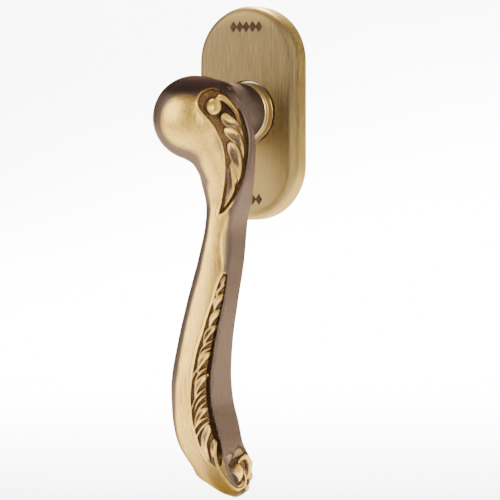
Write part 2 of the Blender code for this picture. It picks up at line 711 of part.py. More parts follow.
def grip():
    """The closed skin of the grip, lofted through its slices, which crowd towards both ends."""
    shape = bmesh.new()
    rows = []
    for number in range(GRIP_SLICES):
        share = number / (GRIP_SLICES - 1)
        crowd = 0.5 - 0.5 * math.cos(math.pi * share)
        z = GRIP_TOP + (GRIP_BOTTOM - GRIP_TOP) * (0.5 * crowd + 0.5 * share)
        rows.append([shape.verts.new((x * MM, -height * MM, z * MM)) for x, height in grip_outline(z)])
    count = len(rows[0])
    for upper, lower in zip(rows, rows[1:]):
        for side in range(count):
            after = (side + 1) % count
            shape.faces.new((upper[side], upper[after], lower[after], lower[side]))
    shape.faces.new(rows[0])
    shape.faces.new(rows[-1])
    bmesh.ops.recalc_face_normals(shape, faces=shape.faces)
    mesh = bpy.data.meshes.new("lever")
    shape.to_mesh(mesh)
    shape.free()
    return keep("lever", mesh, "bronzed_brass")


def head():
    shape = bmesh.new()
    bmesh.ops.create_uvsphere(shape, u_segments=40, v_segments=24, radius=HEAD_RADIUS * MM)
    mesh = bpy.data.meshes.new("head")
    shape.to_mesh(mesh)
    shape.free()
    x, height, z = HEAD_CENTRE
    return keep("join_head", mesh, "bronzed_brass", Matrix.Translation(Vector((x, -height, z)) * MM))


def lever():
    body = grip()
    join(body, head())
    neck = turned("join_neck", [(0.0, SHANK_SQUARE_TOP), (SHANK_RADIUS, SHANK_SQUARE_TOP),
                                (SHANK_RADIUS, COLLAR_FOOT + 0.1), (COLLAR_SEAT_RADIUS, COLLAR_FOOT + 0.1),
                                (COLLAR_SEAT_RADIUS, NECK_FOOT), (NECK_RADIUS, NECK_FOOT),
                                (NECK_RADIUS, NECK_TOP), (0.0, NECK_TOP)], "bronzed_brass", 48)
    key = square_shank("join_shank_square", SHANK_END, SHANK_SQUARE_TOP + 0.5, SHANK_SQUARE * 0.5,
                       SHANK_RADIUS)
    join(body, neck)
    join(body, key)
    half = SPINDLE_SIDE * 0.5 + SPINDLE_FIT
    socket = block("cut_spindle_socket", (-half, -THROUGH, -half), (half, SPINDLE_DEPTH + 0.3, half),
                   "bronzed_brass")
    groove = ring("cut_circlip_groove", CIRCLIP_GROOVE_RADIUS, SHANK_RADIUS + THROUGH, CIRCLIP_LOW,
                  CIRCLIP_HIGH, "bronzed_brass")
    pin_hole = rod_along("cut_lever_pin", "X", PIN_RADIUS + PIN_GAP, -PIN_HOLE_HALF_LENGTH,
                         PIN_HOLE_HALF_LENGTH, PIN_HEIGHT, "bronzed_brass")
    cut(body, *[as_cutter(cutter) for cutter in (socket, groove, pin_hole)])


def neck_collar():
    inner = COLLAR_SEAT_RADIUS + 0.1
    profile = [(inner, COLLAR_FOOT), (COLLAR_FOOT_RADIUS - 0.25, COLLAR_FOOT),
               (COLLAR_FOOT_RADIUS, COLLAR_FOOT + 0.3), (COLLAR_FOOT_RADIUS, COLLAR_FOOT + 1.6),
               (COLLAR_TOP_RADIUS, COLLAR_TOP - 0.25), (COLLAR_TOP_RADIUS - 0.2, COLLAR_TOP),
               (inner, COLLAR_TOP)]
    turned("neck_collar", profile, "polished_brass", 64)


def spindle():
    half = SPINDLE_SIDE * 0.5
    bar = block("spindle", (-half, -SPINDLE_REACH, -half), (half, SPINDLE_DEPTH, half), "steel")
    bevel = bar.modifiers.new("chamfer", "BEVEL")
    bevel.width = SPINDLE_CHAMFER * MM
    bevel.segments = 1
    hole = rod_along("cut_spindle_pin", "X", PIN_RADIUS + PIN_GAP, -PIN_HOLE_HALF_LENGTH,
                     PIN_HOLE_HALF_LENGTH, PIN_HEIGHT, "steel")
    cut(bar, as_cutter(hole))


def spindle_pin():
    rod_along("spindle_pin", "X", PIN_RADIUS, -PIN_HALF_LENGTH, PIN_HALF_LENGTH, PIN_HEIGHT, "dark_steel")


def build():
    base_body()
    back_plate()
    neck_bush()
    thrust_washer()
    rose_cover()
    cover_guide_ring()
    index_disc()
    friction_washer()
    circlip()
    lever()
    neck_collar()
    spindle()
    spindle_pin()
    for sign in (1, -1):
        fixing_screw(sign)
        locating_sleeve(sign)
        snap_clip(sign)
        press_mark(sign)
        detent_ball(sign)
        detent_spring(sign)


build()
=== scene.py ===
"""Looks for the lever window handle: satin patinated brass with a carved head, strip and scroll."""
import json
import math

import bmesh
import bpy
import numpy as np
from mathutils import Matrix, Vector
from mathutils.bvhtree import BVHTree


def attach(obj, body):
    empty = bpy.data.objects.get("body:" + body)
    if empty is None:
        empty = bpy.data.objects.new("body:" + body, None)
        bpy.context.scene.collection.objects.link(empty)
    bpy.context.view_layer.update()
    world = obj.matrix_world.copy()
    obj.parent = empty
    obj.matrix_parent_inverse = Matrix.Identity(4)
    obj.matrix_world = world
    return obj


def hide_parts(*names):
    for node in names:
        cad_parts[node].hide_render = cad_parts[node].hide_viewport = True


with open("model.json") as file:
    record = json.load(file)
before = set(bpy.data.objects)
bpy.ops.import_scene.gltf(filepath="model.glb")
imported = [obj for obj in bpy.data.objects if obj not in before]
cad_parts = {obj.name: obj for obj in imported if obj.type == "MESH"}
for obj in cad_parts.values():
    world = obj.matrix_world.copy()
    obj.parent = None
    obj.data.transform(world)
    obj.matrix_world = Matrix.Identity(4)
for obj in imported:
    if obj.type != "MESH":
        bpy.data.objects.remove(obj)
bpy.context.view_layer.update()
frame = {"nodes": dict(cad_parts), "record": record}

MM = 0.001

# The lever's form, in millimetres, as the CAD model has it. A height is a distance in front of the sash.
HEAD_RADIUS = 13.1
HEAD_CENTRE = (0.0, 41.7, -2.0)
HEAD_BLEND = 4.5
# The shoulder that leads the head down into the grip: centre and radius at its top and at its foot.
SHOULDER_TOP = ((4.8, 43.5, -3.0), 9.6)
SHOULDER_FOOT = ((7.0, 31.2, -27.0), 5.4)
SHOULDER_BLEND = 3.0
NECK_RADIUS = 9.3
NECK_FOOT = 12.6
NECK_TOP = 36.0
NECK_BLEND = 1.6
NECK_EDGE = 0.5
GRIP_CROWN = 1.2
FRONT_RIGHT_CORNER = 1.0
# Between the two carvings the right corner is rounder: by how much, at what level and over what height.
SOFT_CORNER = 2.0
SOFT_LEVEL = -40.5
SOFT_HEIGHT = 6.5
FRONT_LEFT_CORNER = 6.5
LEFT_CORNER_SHIFT = 0.40
CAD_LEFT_CORNER = 3.0
# Each grip level: Z, left edge, right edge, front edge height, back height, back corner radius.
GRIP_LEVELS = (
    (10.4, -1.0, 1.6, 37.0, 34.0, 1.0),
    (9.4, -3.6, 5.6, 37.4, 31.6, 2.5),
    (6.2, -6.0, 9.3, 36.5, 30.6, 2.8),
    (2.9, -7.0, 11.8, 35.2, 30.2, 2.4),
    (-1.6, -7.5, 13.9, 34.6, 30.0, 2.2),
    (-5.9, -7.5, 15.3, 34.6, 29.9, 2.2),
    (-10.8, -5.8, 15.9, 35.2, 29.6, 2.6),
    (-16.5, -2.4, 15.8, 36.4, 29.2, 3.2),
    (-22.4, -0.8, 14.9, 37.4, 28.4, 3.4),
    (-28.9, 0.4, 12.5, 37.4, 26.6, 2.8),
    (-34.0, 0.3, 10.5, 37.6, 24.8, 2.2),
    (-46.5, -1.9, 9.8, 38.8, 26.0, 2.0),
    (-59.0, -4.7, 9.5, 40.4, 29.6, 1.8),
    (-72.0, -7.2, 7.9, 42.0, 30.2, 1.8),
    (-84.5, -9.0, 6.6, 42.8, 28.4, 2.0),
    (-91.0, -9.1, 6.4, 42.4, 26.4, 2.0),
    (-97.0, -9.1, 7.5, 41.4, 25.2, 2.2),
    (-103.5, -8.2, 8.5, 39.8, 24.0, 2.6),
    (-109.5, -6.0, 8.3, 37.0, 18.2, 3.0),
    (-114.6, -4.2, 7.6, 32.6, 16.2, 3.5),
    (-118.0, -2.2, 6.4, 27.8, 16.0, 3.5),
    (-120.0, -0.4, 5.0, 24.0, 16.6, 2.2),
    (-121.0, 1.0, 3.4, 20.6, 17.6, 1.0),
)

# The carving is laid out on a drawing plane turned 28 degrees to the right of the front.
DRAWING_TURN = math.radians(28.0)

# Comma recess on the head: its left and right edges, from the lower point to the top.
RECESS_LEFT = ((-12.4, -32.2), (-11.8, -29.7), (-11.1, -25.9), (-10.5, -21.9), (-10.3, -17.3), (-10.5, -13.9),
               (-11.1, -10.9), (-12.3, -7.8), (-14.1, -4.5), (-16.2, -2.0), (-17.7, -0.2), (-18.6, 1.4),
               (-18.7, 2.9), (-17.9, 4.9), (-16.3, 6.1), (-14.2, 6.8))
RECESS_RIGHT = ((-12.4, -32.2), (-11.2, -31.8), (-9.0, -29.7), (-6.8, -26.6), (-4.6, -21.9), (-3.3, -15.7),
                (-2.9, -9.5), (-3.7, -4.3), (-5.5, 0.4), (-8.0, 3.7), (-11.1, 6.0), (-14.2, 6.8))
# Strip down the front right edge: its left line, the right end of its lobes, and its right edge.
STRIP_LEFT = ((-10.8, -49.9), (-12.4, -53.3), (-13.9, -58.3), (-15.8, -63.8), (-17.3, -69.0),
              (-18.8, -73.6), (-20.1, -79.8), (-20.7, -84.4), (-21.0, -89.0), (-20.7, -93.7),
              (-20.1, -97.7), (-18.9, -101.7), (-17.4, -105.6), (-15.3, -109.0), (-12.6, -111.2))
STRIP_LOBES = ((-9.9, -49.9), (-10.2, -54.3), (-11.1, -58.3), (-12.1, -62.9), (-13.3, -67.6),
               (-14.2, -72.2), (-15.2, -76.8), (-15.9, -81.4), (-15.9, -86.1), (-15.8, -90.1),
               (-15.2, -93.8), (-14.7, -97.8), (-13.4, -102.4), (-13.2, -107.0), (-12.6, -111.2))
STRIP_RIGHT = ((-9.3, -49.9), (-9.9, -54.7), (-10.5, -58.4), (-11.8, -64.6), (-13.0, -70.7),
               (-13.9, -76.9), (-14.6, -83.1), (-14.4, -89.3), (-13.6, -93.9), (-12.4, -98.5),
               (-11.3, -103.2), (-10.9, -106.6), (-11.1, -109.4), (-12.5, -111.2))

# Carving grids: their cell, how far each runs past its outline, and how many points draw an edge.
CARVING_CELL = 0.11
CARVING_MARGIN = 1.1
EDGE_POINTS = 90
# The skin behind a grid is found on coarse cells first, then closed in on from this far to either side.
COARSE_CELL = 0.5
SKIN_REACH = 1.6
# Cells where the skin slopes more than this are left out.
STEEPEST_SKIN = 2.6
# Blur radii: of the relief, so that it looks cast, of the depth that crevices lie under, and of slopes.
CAST_SOFTNESS = 0.13
CREVICE_SOFTNESS = 0.55
SLOPE_SOFTNESS = 0.15
# Depth of each carving's floor. The head's is deeper on its right, and the strip has a channel beside it.
HEAD_DEPTH = 1.7
HEAD_EXTRA_DEPTH = 0.5
STRIP_DEPTH = 0.85
STRIP_FOOT = (-109.5, -104.0)
CHANNEL_DEPTH = 1.9
SCROLL_DEPTH = 0.9
EYE_DITCH = 0.7
# Relief of the scroll's left side, as a share of its right side.
LEFT_RELIEF = 0.45
# The head's floor starts between the skin and a straight span from edge to edge. It fills a valley by this
# much at most, and goes this share of the way down where the span lies lower.
VALLEY_FILL = 1.5
SPAN_SHARE = 0.4
# Bead round a carving: its height, its width, and how far right of the middle it starts to fade.
HEAD_BEAD = (0.26, 0.34, 1.5)
STRIP_BEAD = (0.16, 0.26, -0.3)
SCROLL_BEAD = (0.0, 0.26, 0.0)
BEAD_PLACE = -0.05
# At its rim a carving lies this far under the lever's own skin, and it rises by this much just inside it.
RIM_TUCK = 0.010
RIM_RISE = 0.016
# Heights of relief between which wear turns it gold, and depths between which a hollow is painted dark as
# shade.
# Slopes that face left keep less of that gold, as painted shade.
WORN_RELIEF = (0.2, 1.2)
HEAD_HOLLOW = (2.3, 3.2)
STRIP_HOLLOW = (1.1, 1.8)
SCROLL_HOLLOW = (1.0, 2.0)
DEEP_SHADE = 0.75
# Patina on low relief and painted shade on slopes that face left, painted shade on any steep slope, and the
# depth of a full crevice, which is darkened with patina and painted shade.
LOW_PATINA_AND_SHADE = 0.85
STEEP_SHADE = 0.35
CREVICE_DEPTH = 0.75

# Height across a leaf, from its lower left edge to its upper right edge, as a share of its rise.
LEAF_ACROSS = (0.0, 0.04, 0.14, 0.34, 0.56, 0.76, 0.92, 1.0)
LEAF_RISE = (-0.10, 0.40, 0.62, 0.72, 0.86, 1.0, 0.86, 0.05)
# Middle and width of a leaf's hollow, across and along it, as shares; the widths from which the leaf and
# its hollow are full; and how far it sinks towards its tail.
LEAF_HOLLOW_ACROSS = (0.36, 0.19)
LEAF_HOLLOW_ALONG = (0.34, 0.24)
LEAF_FULL_WIDTH = 1.3
LEAF_HOLLOW_WIDTH = 1.6
LEAF_TAIL_DROP = 0.35

VOLUTE_CENTRE = (-13.8, 1.3)
VOLUTE_RADII = (2.7, 2.85)
VOLUTE_RISE = 2.4

# Leaves in the head's recess: lower left edge, upper right edge, rise, hollow. They run from tip to tail.
HEAD_LEAVES = (
    (((-9.0, -15.4), (-9.8, -18.8), (-9.8, -21.9), (-10.2, -25.0), (-11.2, -28.7), (-12.0, -31.4)),
     ((-8.8, -15.4), (-7.8, -18.2), (-7.1, -21.9), (-6.9, -23.8), (-7.9, -26.6), (-9.7, -29.3),
      (-12.0, -31.4)), 1.0, 0.55),
    (((-8.7, -15.8), (-8.4, -18.2), (-7.8, -21.0), (-7.3, -22.8), (-6.9, -24.1)),
     ((-8.4, -15.4), (-7.3, -17.3), (-6.6, -19.8), (-6.5, -21.9), (-6.9, -24.1)), 1.35, 0.2),
    (((-9.7, -9.9), (-9.7, -12.4), (-8.9, -14.8), (-7.6, -17.0), (-6.8, -19.8), (-6.5, -21.9), (-6.8, -23.9)),
     ((-9.3, -9.4), (-7.4, -9.8), (-5.9, -11.7), (-4.9, -14.5), (-4.7, -17.3), (-5.4, -20.7), (-6.8, -23.9)),
     1.6, 0.62),
    (((-11.0, -5.8), (-10.0, -7.9), (-8.5, -9.3), (-6.8, -10.2), (-5.6, -12.0), (-4.9, -14.3), (-4.7, -16.4)),
     ((-10.6, -5.2), (-8.7, -4.9), (-6.8, -5.7), (-5.2, -7.8), (-4.3, -10.8), (-4.2, -13.9), (-4.7, -16.4)),
     1.6, 0.62),
    (((-11.7, -2.0), (-11.2, -3.8), (-10.2, -4.9), (-8.0, -5.0), (-6.4, -5.9), (-5.0, -7.7), (-4.2, -10.4)),
     ((-11.5, -1.2), (-10.3, -0.4), (-8.8, -1.1), (-7.3, -2.4), (-5.9, -4.1), (-4.7, -6.4), (-4.2, -10.4)),
     1.5, 0.55),
    (((-12.8, 2.7), (-11.9, 3.1), (-10.3, 2.2), (-8.7, 0.6), (-7.1, -1.6), (-6.1, -3.3), (-4.7, -6.4)),
     ((-13.4, 3.9), (-12.3, 4.9), (-10.7, 4.9), (-9.0, 3.6), (-7.3, 1.4), (-5.9, -1.2), (-4.7, -6.4)),
     2.0, 0.0),
)

# The strip's husks, each from tip to tail, with its half width, rise and hollow.
# All are drawn out past those points by the tip and tail shifts, and bowed by a share of their length.
HUSK_TIP = (0.35, -0.1)
HUSK_TAIL = (-0.2, -1.3)
HUSK_BOW = -0.13
HUSK_HOLLOW = (-0.12, 0.36)
STRIP_HUSKS = (
    ((-9.9, -50.6), (-11.2, -54.4), 0.75, 1.0, 0.5),
    ((-10.4, -53.2), (-13.0, -57.6), 0.60, 1.0, 0.0),
    ((-10.8, -56.4), (-13.6, -61.1), 1.20, 1.3, 0.25),
    ((-11.7, -61.2), (-15.1, -66.3), 1.25, 1.3, 0.35),
    ((-12.9, -66.1), (-16.9, -71.6), 1.30, 1.4, 0.80),
    ((-13.8, -70.6), (-18.5, -74.7), 0.50, 1.1, 0.0),
    ((-14.5, -72.9), (-19.0, -76.8), 0.55, 1.1, 0.0),
    ((-14.8, -74.4), (-18.7, -80.1), 1.25, 1.4, 0.60),
    ((-16.4, -77.4), (-20.3, -82.8), 0.50, 1.0, 0.0),
    ((-15.8, -79.0), (-19.9, -84.4), 0.55, 1.1, 0.0),
    ((-15.6, -81.1), (-19.6, -88.0), 1.20, 1.4, 0.60),
    ((-16.0, -85.2), (-20.6, -92.7), 0.50, 1.0, 0.0),
    ((-15.9, -87.3), (-19.7, -92.5), 0.60, 1.1, 0.0),
    ((-15.9, -89.5), (-19.4, -95.0), 0.50, 1.1, 0.0),
    ((-16.0, -91.6), (-19.4, -97.5), 1.20, 1.4, 0.75),
    ((-15.5, -94.4), (-20.0, -99.0), 0.50, 1.1, 0.0),
    ((-15.2, -95.7), (-19.3, -102.6), 0.60, 1.2, 0.0),
)
STRIP_LEAVES = (
    (((-15.9, -97.0), (-17.6, -99.7), (-18.0, -102.6), (-17.6, -105.4), (-16.4, -108.3)),
     ((-14.9, -96.8), (-14.3, -98.7), (-15.0, -100.9), (-15.6, -103.1), (-15.2, -106.0), (-14.8, -108.5)),
     1.5, 0.35),
    (((-13.9, -101.4), (-14.9, -103.1), (-15.1, -105.3), (-14.4, -108.4)),
     ((-13.4, -101.2), (-12.6, -103.1), (-13.1, -105.3), (-13.9, -108.2)), 1.4, 0.45),
)

# Scroll at the tip: rolls that wrap round its back, as level, radius, and how much they lean.
ROLLS = ((-109.6, 2.3, 0.25), (-113.6, 2.1, 0.20), (-117.7, 1.6, 0.10))
# Each is laid out on an arc about the grip's middle, then moved onto the skin. The middle is read from the
# fourth grip level from the last.
ROLL_MIDDLE_LEVEL = -4
ROLL_MIDDLE_HEIGHT = 23.0
ROLL_ARC = 6.0
ROLL_SINK = 0.65
ROLL_TURN = 1.55
# Its sides, seen square on: across is the distance behind the room side, so minus the height.
SCROLL_FRONT = ((-20.6, -119.3), (-24.6, -118.6), (-27.6, -116.9), (-31.4, -114.0), (-34.6, -110.9),
                (-36.6, -108.2), (-37.2, -106.6))
SCROLL_BACK = ((-20.6, -119.3), (-19.2, -117.6), (-19.0, -113.6), (-20.2, -109.6), (-22.4, -107.0),
               (-25.6, -104.9), (-28.3, -104.0), (-30.3, -104.5), (-31.9, -106.2), (-33.7, -105.6),
               (-35.4, -105.9), (-37.2, -106.6))
EYE_CENTRE = (-29.0, -113.2)
EYE_RADII = (4.1, 3.7)
EYE_RISE = 2.5
SCROLL_LEAVES = (
    (((-36.9, -107.6), (-35.6, -109.6), (-33.6, -110.3), (-31.9, -108.6), (-31.6, -106.9)),
     ((-36.9, -107.2), (-35.5, -106.3), (-33.8, -106.0), (-32.5, -106.4), (-31.6, -106.9)), 0.6, 0.0),
    (((-31.7, -108.0), (-29.6, -109.7), (-26.4, -109.0), (-23.6, -108.3)),
     ((-31.7, -107.6), (-30.2, -105.1), (-28.2, -104.5), (-23.6, -107.6)), 0.6, 0.0),
    (((-36.2, -109.2), (-33.2, -112.0), (-30.9, -114.0), (-28.2, -116.0), (-25.2, -116.6),
      (-23.5, -115.7), (-22.9, -113.8), (-23.4, -111.6)),
     ((-36.0, -108.8), (-34.0, -111.9), (-31.3, -114.7), (-28.0, -117.0), (-24.6, -117.7), (-22.1, -116.6),
      (-21.3, -114.1), (-23.0, -111.2)), 1.15, 0.0),
)

# The raised band that frames the scroll, on the drawing plane.
BAND_PATH = ((-12.8, -102.4), (-13.3, -105.9), (-12.8, -109.2), (-11.1, -113.1), (-8.8, -116.5),
             (-6.3, -118.3), (-4.6, -117.6), (-3.9, -115.1), (-4.5, -112.4))
# Radii of a bar are given at shares of its length, and its sink is a share of its radius.
BAND_RADII = ((0.0, 0.15), (0.12, 0.5), (0.4, 0.62), (0.7, 0.8), (0.88, 0.6), (1.0, 0.2))
BAND_SINK = 0.35
# The hooked lobe behind the eye.
CLAW_PATH = ((-6.2, -109.6), (-5.2, -108.3), (-3.9, -108.0), (-2.9, -109.2), (-2.6, -111.2),
             (-2.9, -113.4), (-3.7, -115.2))
CLAW_RADII = ((0.0, 0.35), (0.25, 1.0), (0.55, 1.45), (0.85, 1.1), (1.0, 0.5))
CLAW_SINK = 0.5
BAR_SIDES = 24
# Painted shade laid evenly over every bar.
BAR_SHADE = 0.15
# The left band starts this much further back than a mirror image, before it is moved onto the skin.
LEFT_BAND_BACK = 8.0

# Under the neck, as the CAD has them: the turned seat, the shank with its fillet, and the square end.
SEAT_RADIUS = 8.0
SEAT_TOP = 14.5
SEAT_FOOT = 7.1
SEAT_CHAMFER = 0.25
SHANK_RADIUS = 6.2
SHANK_FOOT = 4.05
SHANK_FILLET = 0.2
SQUARE_FLAT = 4.5
SQUARE_CHAMFER = 0.6
# Levels of the square end, from its small chamfer up into the shank: height and scale.
SQUARE_LEVELS = ((0.30, 0.93), (0.50, 1.0), (4.2, 1.0))

# Rose and collar, as the CAD has them.
ROSE_RADIUS = 17.5
ROSE_STRAIGHT = 16.5
ROSE_HEIGHT = 8.0
ROSE_FOOT = 0.1
ROSE_WALL = 1.3
ROSE_ROUND = 2.8
ROSE_HOLE = 10.15
# Chamfers at the rose's foot, at the neck's hole and inside the shell.
FOOT_CHAMFER = 0.25
HOLE_CHAMFER = 0.22
LINING_CHAMFER = 1.4
MARK_CENTRE = 27.4
MARK_COUNT = 5
MARK_PITCH = 2.3
MARK_HALF_HEIGHT = 1.75
MARK_LINK = 0.2
MARK_DEPTH = 0.35
# Each mark's engraving has a small slanted lip: its growth at the top and below it, and its depth.
MARK_LIP = 0.10
MARK_EDGE = 0.05
MARK_LIP_DEPTH = 0.06
# The collar's closed profile, as radius and height: a bright cone between two fine lines.
COLLAR_PROFILE = ((8.1, 7.0), (9.55, 7.0), (9.7, 7.15), (9.68, 8.3), (9.60, 8.42), (9.60, 8.58), (9.66, 8.7),
                  (9.50, 10.9), (9.38, 11.02), (9.38, 11.16), (9.46, 11.28), (9.36, 12.15), (9.18, 12.38),
                  (8.1, 12.38))

# Meshing: cell of the lever's mesh, step of the search for its skin, and reach of a smoothed normal.
LEVER_CELL = 0.42
SEARCH_STEP = 0.6
NORMAL_REACH = 0.3
# The lever's own skin is sunk this far under a carving, from a little outside its outline, where it lies
# less than the reach behind the uncarved skin.
SINK = 0.6
SINK_MARGIN = 0.45
SINK_REACH = 3.4
# Steep cells are kept this far past the outline where the carving bridges a dip in the skin.
BRIDGE_MARGIN = SINK_MARGIN + 0.15
# Rows and sides of the rough grip, and its size as a share of the real one.
ROUGH_ROWS = 90
ROUGH_SIDES = 24
ROUGH_SHARE = 0.92

# Finish: where the brushed gold gives way to brown, by how much a surface faces the room.
GOLD_DIRECTION = (0.25, -0.93, -0.13)
GOLD_FACING = (0.66, 0.93)
# Right limit of the gold on the drawing plane, from the recess down to the strip.
GOLD_RIGHT = ((-12.6, -111.2), (-12.4, -103.2), (-14.5, -93.9), (-15.3, -87.0), (-14.8, -76.9),
              (-12.7, -64.6), (-10.8, -54.7), (-10.6, -50.0), (-9.5, -43.0), (-8.9, -36.0), (-8.9, -30.5),
              (-6.8, -26.4), (-4.6, -21.7), (-3.4, -15.7), (-3.0, -9.5), (-3.8, -4.3), (-5.4, 0.6),
              (-8.0, 4.0), (-11.0, 6.3))
GOLD_RIGHT_EDGE = (-0.9, 0.3)
# In the plain stretch between the carvings that limit is this many times wider, and moved by this much.
GOLD_SOFTNESS = (3.2, 0.4)
GOLD_END = -100.0
# Over these distances below the spindle, more and more faces count as a front, as long as they don't look
# to a side or back. A face looks back from this share of its normal on.
TURNING_RANGE = (84.0, 104.0)
BACK_FACING = 0.15
# Painted shade: a dark band over the top of the ball, for the dark it reflects from above, by how much a face
# looks up, by its level and by its height.
TOP_BAND_IN = (0.36, 0.60)
TOP_BAND_OUT = (0.80, 0.97)
TOP_BAND_LEVEL = (2.0, 7.0)
TOP_BAND_HEIGHT = (31.0, 36.0)
TOP_BAND_DARKNESS = 0.9
TOP_BAND_FADE = 0.2
# Towards the tip, which faces down, the gold is painted duller and darker as shade.
TIP_RANGE = (84.0, 114.0)
TIP_DARKNESS = 0.12
TIP_DULLING = 0.45
# Tones, as hex codes.
GOLD_LOW = "b0883d"
GOLD_MIDDLE = "d3aa52"
GOLD_HIGH = "e5c06c"
GOLD_MELLOW = "ba9248"
BROWN_LOW = "4f4238"
BROWN_MIDDLE = "5d4f44"
BROWN_HIGH = "6c5c50"
# Painted shade tone, mixed in by the shade mask.
SHADE_TONE = "1d110a"
EDGE_TINT = "989186"
# Dark pitted tone where the grime mask lies: patina in the hollows, and painted shade.
DARK_LOW = "3c2918"
DARK_MIDDLE = "65492b"
DARK_HIGH = "7b5d38"
ROSE_LOW = "51422a"
ROSE_MIDDLE = "6b593a"
ROSE_HIGH = "87724b"
ROSE_STREAK = "443723"
ROSE_MELLOW = "625136"
# Lighter tone painted over the rose's lower part and its top: painted light.
ROSE_PAINTED_LIGHT = "a0854e"
ROSE_EDGE_TINT = "d2c3a0"

# Studio, in metres. The floor runs from its front back to the sweep, which curves up into the backdrop.
FLOOR_LEVEL = -0.1235
FLOOR_FRONT = -2.2
FLOOR_HALF_WIDTH = 2.6
SWEEP_START = 0.7
SWEEP_RADIUS = 0.7
SWEEP_STEPS = 16
BACKDROP_TOP = 2.6
WORLD_LIGHT = 0.35
# Each lamp has a place, a size and a power, and looks at the same point.
LAMP_AIM = (0.0, -0.03, -0.05)
LAMPS = (
    ("key", (-1.10, -0.80, 0.35), (0.7, 1.4), 21.0),
    ("front", (-0.75, -1.32, 0.35), (0.45, 1.5), 16.0),
    ("right", (0.62, -1.17, 0.35), (0.25, 1.4), 14.0),
    ("side", (1.20, -0.30, 0.50), (0.35, 0.8), 13.0),
    ("behind", (0.75, 1.00, 0.30), (0.8, 1.0), 5.0),
)
# Spots for the backdrop and the floor behind: place, point looked at, full cone angle in degrees, power.
SPOTS = (
    ("backdrop", (-0.75, 0.95, 1.50), (-0.60, 1.15, -0.05), 75.0, 1000.0),
    ("floor_behind", (-0.30, 0.66, 1.30), (-0.28, 0.55, -0.12), 60.0, 1050.0),
)
SPOT_BLEND = 0.6
SPOT_SOFTNESS = 0.15
# Camera, in millimetres.
CAMERA_PLACE = (565.15, -1068.24, -22.54)
CAMERA_AIM = (1.87, -8.87, -43.49)
CAMERA_LENS = 272.16


def smooth_steps(value, low, high):
    """A smooth rise from 0 to 1 as a value goes from low to high."""
    share = np.clip((value - low) / (high - low), 0.0, 1.0)
    return share * share * (3.0 - 2.0 * share)


def bell(value, middle, width):
    """1 where a value is at the middle, and falling smoothly to either side of it."""
    return np.exp(-((value - middle) / width) ** 2)


def cubic(values, slopes, index, share, step):
    """Smooth cubic from each indexed row of values to the next, with these slopes."""
    square, cube = share ** 2, share ** 3
    return ((2 * cube - 3 * square + 1) * values[index] + (cube - 2 * square + share) * slopes[index] * step
            + (3 * square - 2 * cube) * values[index + 1] + (cube - square) * slopes[index + 1] * step)


def through(levels, z):
    """Smooth curves through the columns of a table whose first column falls along Z."""
    table = np.array(levels)[::-1]
    knots = table[:, 0]
    values = table[:, 1:]
    slopes = np.gradient(values, knots, axis=0)
    z = np.clip(z, knots[0], knots[-1])
    index = np.clip(np.searchsorted(knots, z) - 1, 0, len(knots) - 2)
    step = (knots[index + 1] - knots[index])[:, None]
    share = ((z - knots[index]) / step[:, 0])[:, None]
    return cubic(values, slopes, index, share, step).T


def curve_through(points, count):
    """Points along a smooth curve through the given ones, evenly spread by length."""
    knots = np.array(points, float)
    lengths = np.concatenate(([0.0], np.cumsum(np.linalg.norm(np.diff(knots, axis=0), axis=1))))
    slopes = np.gradient(knots, lengths, axis=0)
    place = np.linspace(0.0, lengths[-1], count)
    index = np.clip(np.searchsorted(lengths, place, side="right") - 1, 0, len(knots) - 2)
    step = (lengths[index + 1] - lengths[index])[:, None]
    share = ((place - lengths[index]) / step[:, 0])[:, None]
    return cubic(knots, slopes, index, share, step)


# ---------------------------------------------------------------- the lever's form


def between_carvings(z):
    """How far a level is in the plain stretch between the head's recess and the strip, from 0 to 1."""
    return bell(z, SOFT_LEVEL, SOFT_HEIGHT)


def grip_distance(points):
    """Signed distance, within each level, to the grip's crowned and rounded section."""
    x, height, z = points[:, 0], -points[:, 1], points[:, 2]
    left, right, front, back, back_corner = through(GRIP_LEVELS, z)
    rounder = np.minimum(FRONT_LEFT_CORNER, 0.45 * np.minimum(right - left, front - back))
    left = left - LEFT_CORNER_SHIFT * np.maximum(rounder - CAD_LEFT_CORNER, 0.0)
    half_width = 0.5 * (right - left)
    middle = 0.5 * (right + left)
    across = (x - middle) / half_width
    crown = GRIP_CROWN * np.minimum(half_width / 6.0, 1.0)
    front = front + crown * (1.0 - np.minimum(across ** 2, 1.0))
    half_depth = 0.5 * (front - back)
    depth_middle = 0.5 * (front + back)
    front_right_corner = FRONT_RIGHT_CORNER + SOFT_CORNER * between_carvings(z)
    front_corner = np.where(across > 0.0, front_right_corner, FRONT_LEFT_CORNER)
    corner = np.where(height > depth_middle, front_corner, back_corner)
    corner = np.minimum(corner, 0.9 * np.minimum(half_width, half_depth))
    side = np.abs(x - middle) - half_width + corner
    face = np.abs(height - depth_middle) - half_depth + corner
    outside = np.hypot(np.maximum(side, 0.0), np.maximum(face, 0.0))
    beyond = np.maximum(z - GRIP_LEVELS[0][0], GRIP_LEVELS[-1][0] - z)
    return outside + np.minimum(np.maximum(side, face), 0.0) - corner + np.maximum(beyond, 0.0) * 3.0


def head_distance(points):
    centre_x, centre_height, centre_z = HEAD_CENTRE
    return np.linalg.norm(points - np.array((centre_x, -centre_height, centre_z)), axis=1) - HEAD_RADIUS


def shoulder_distance(points):
    """A round cone from inside the head to inside the grip."""
    (top, top_radius), (foot, foot_radius) = SHOULDER_TOP, SHOULDER_FOOT
    top = np.array((top[0], -top[1], top[2]))
    foot = np.array((foot[0], -foot[1], foot[2]))
    line = foot - top
    share = np.clip((points - top) @ line / (line @ line), 0.0, 1.0)
    radius = top_radius + (foot_radius - top_radius) * share
    return np.linalg.norm(points - top - share[:, None] * line, axis=1) - radius


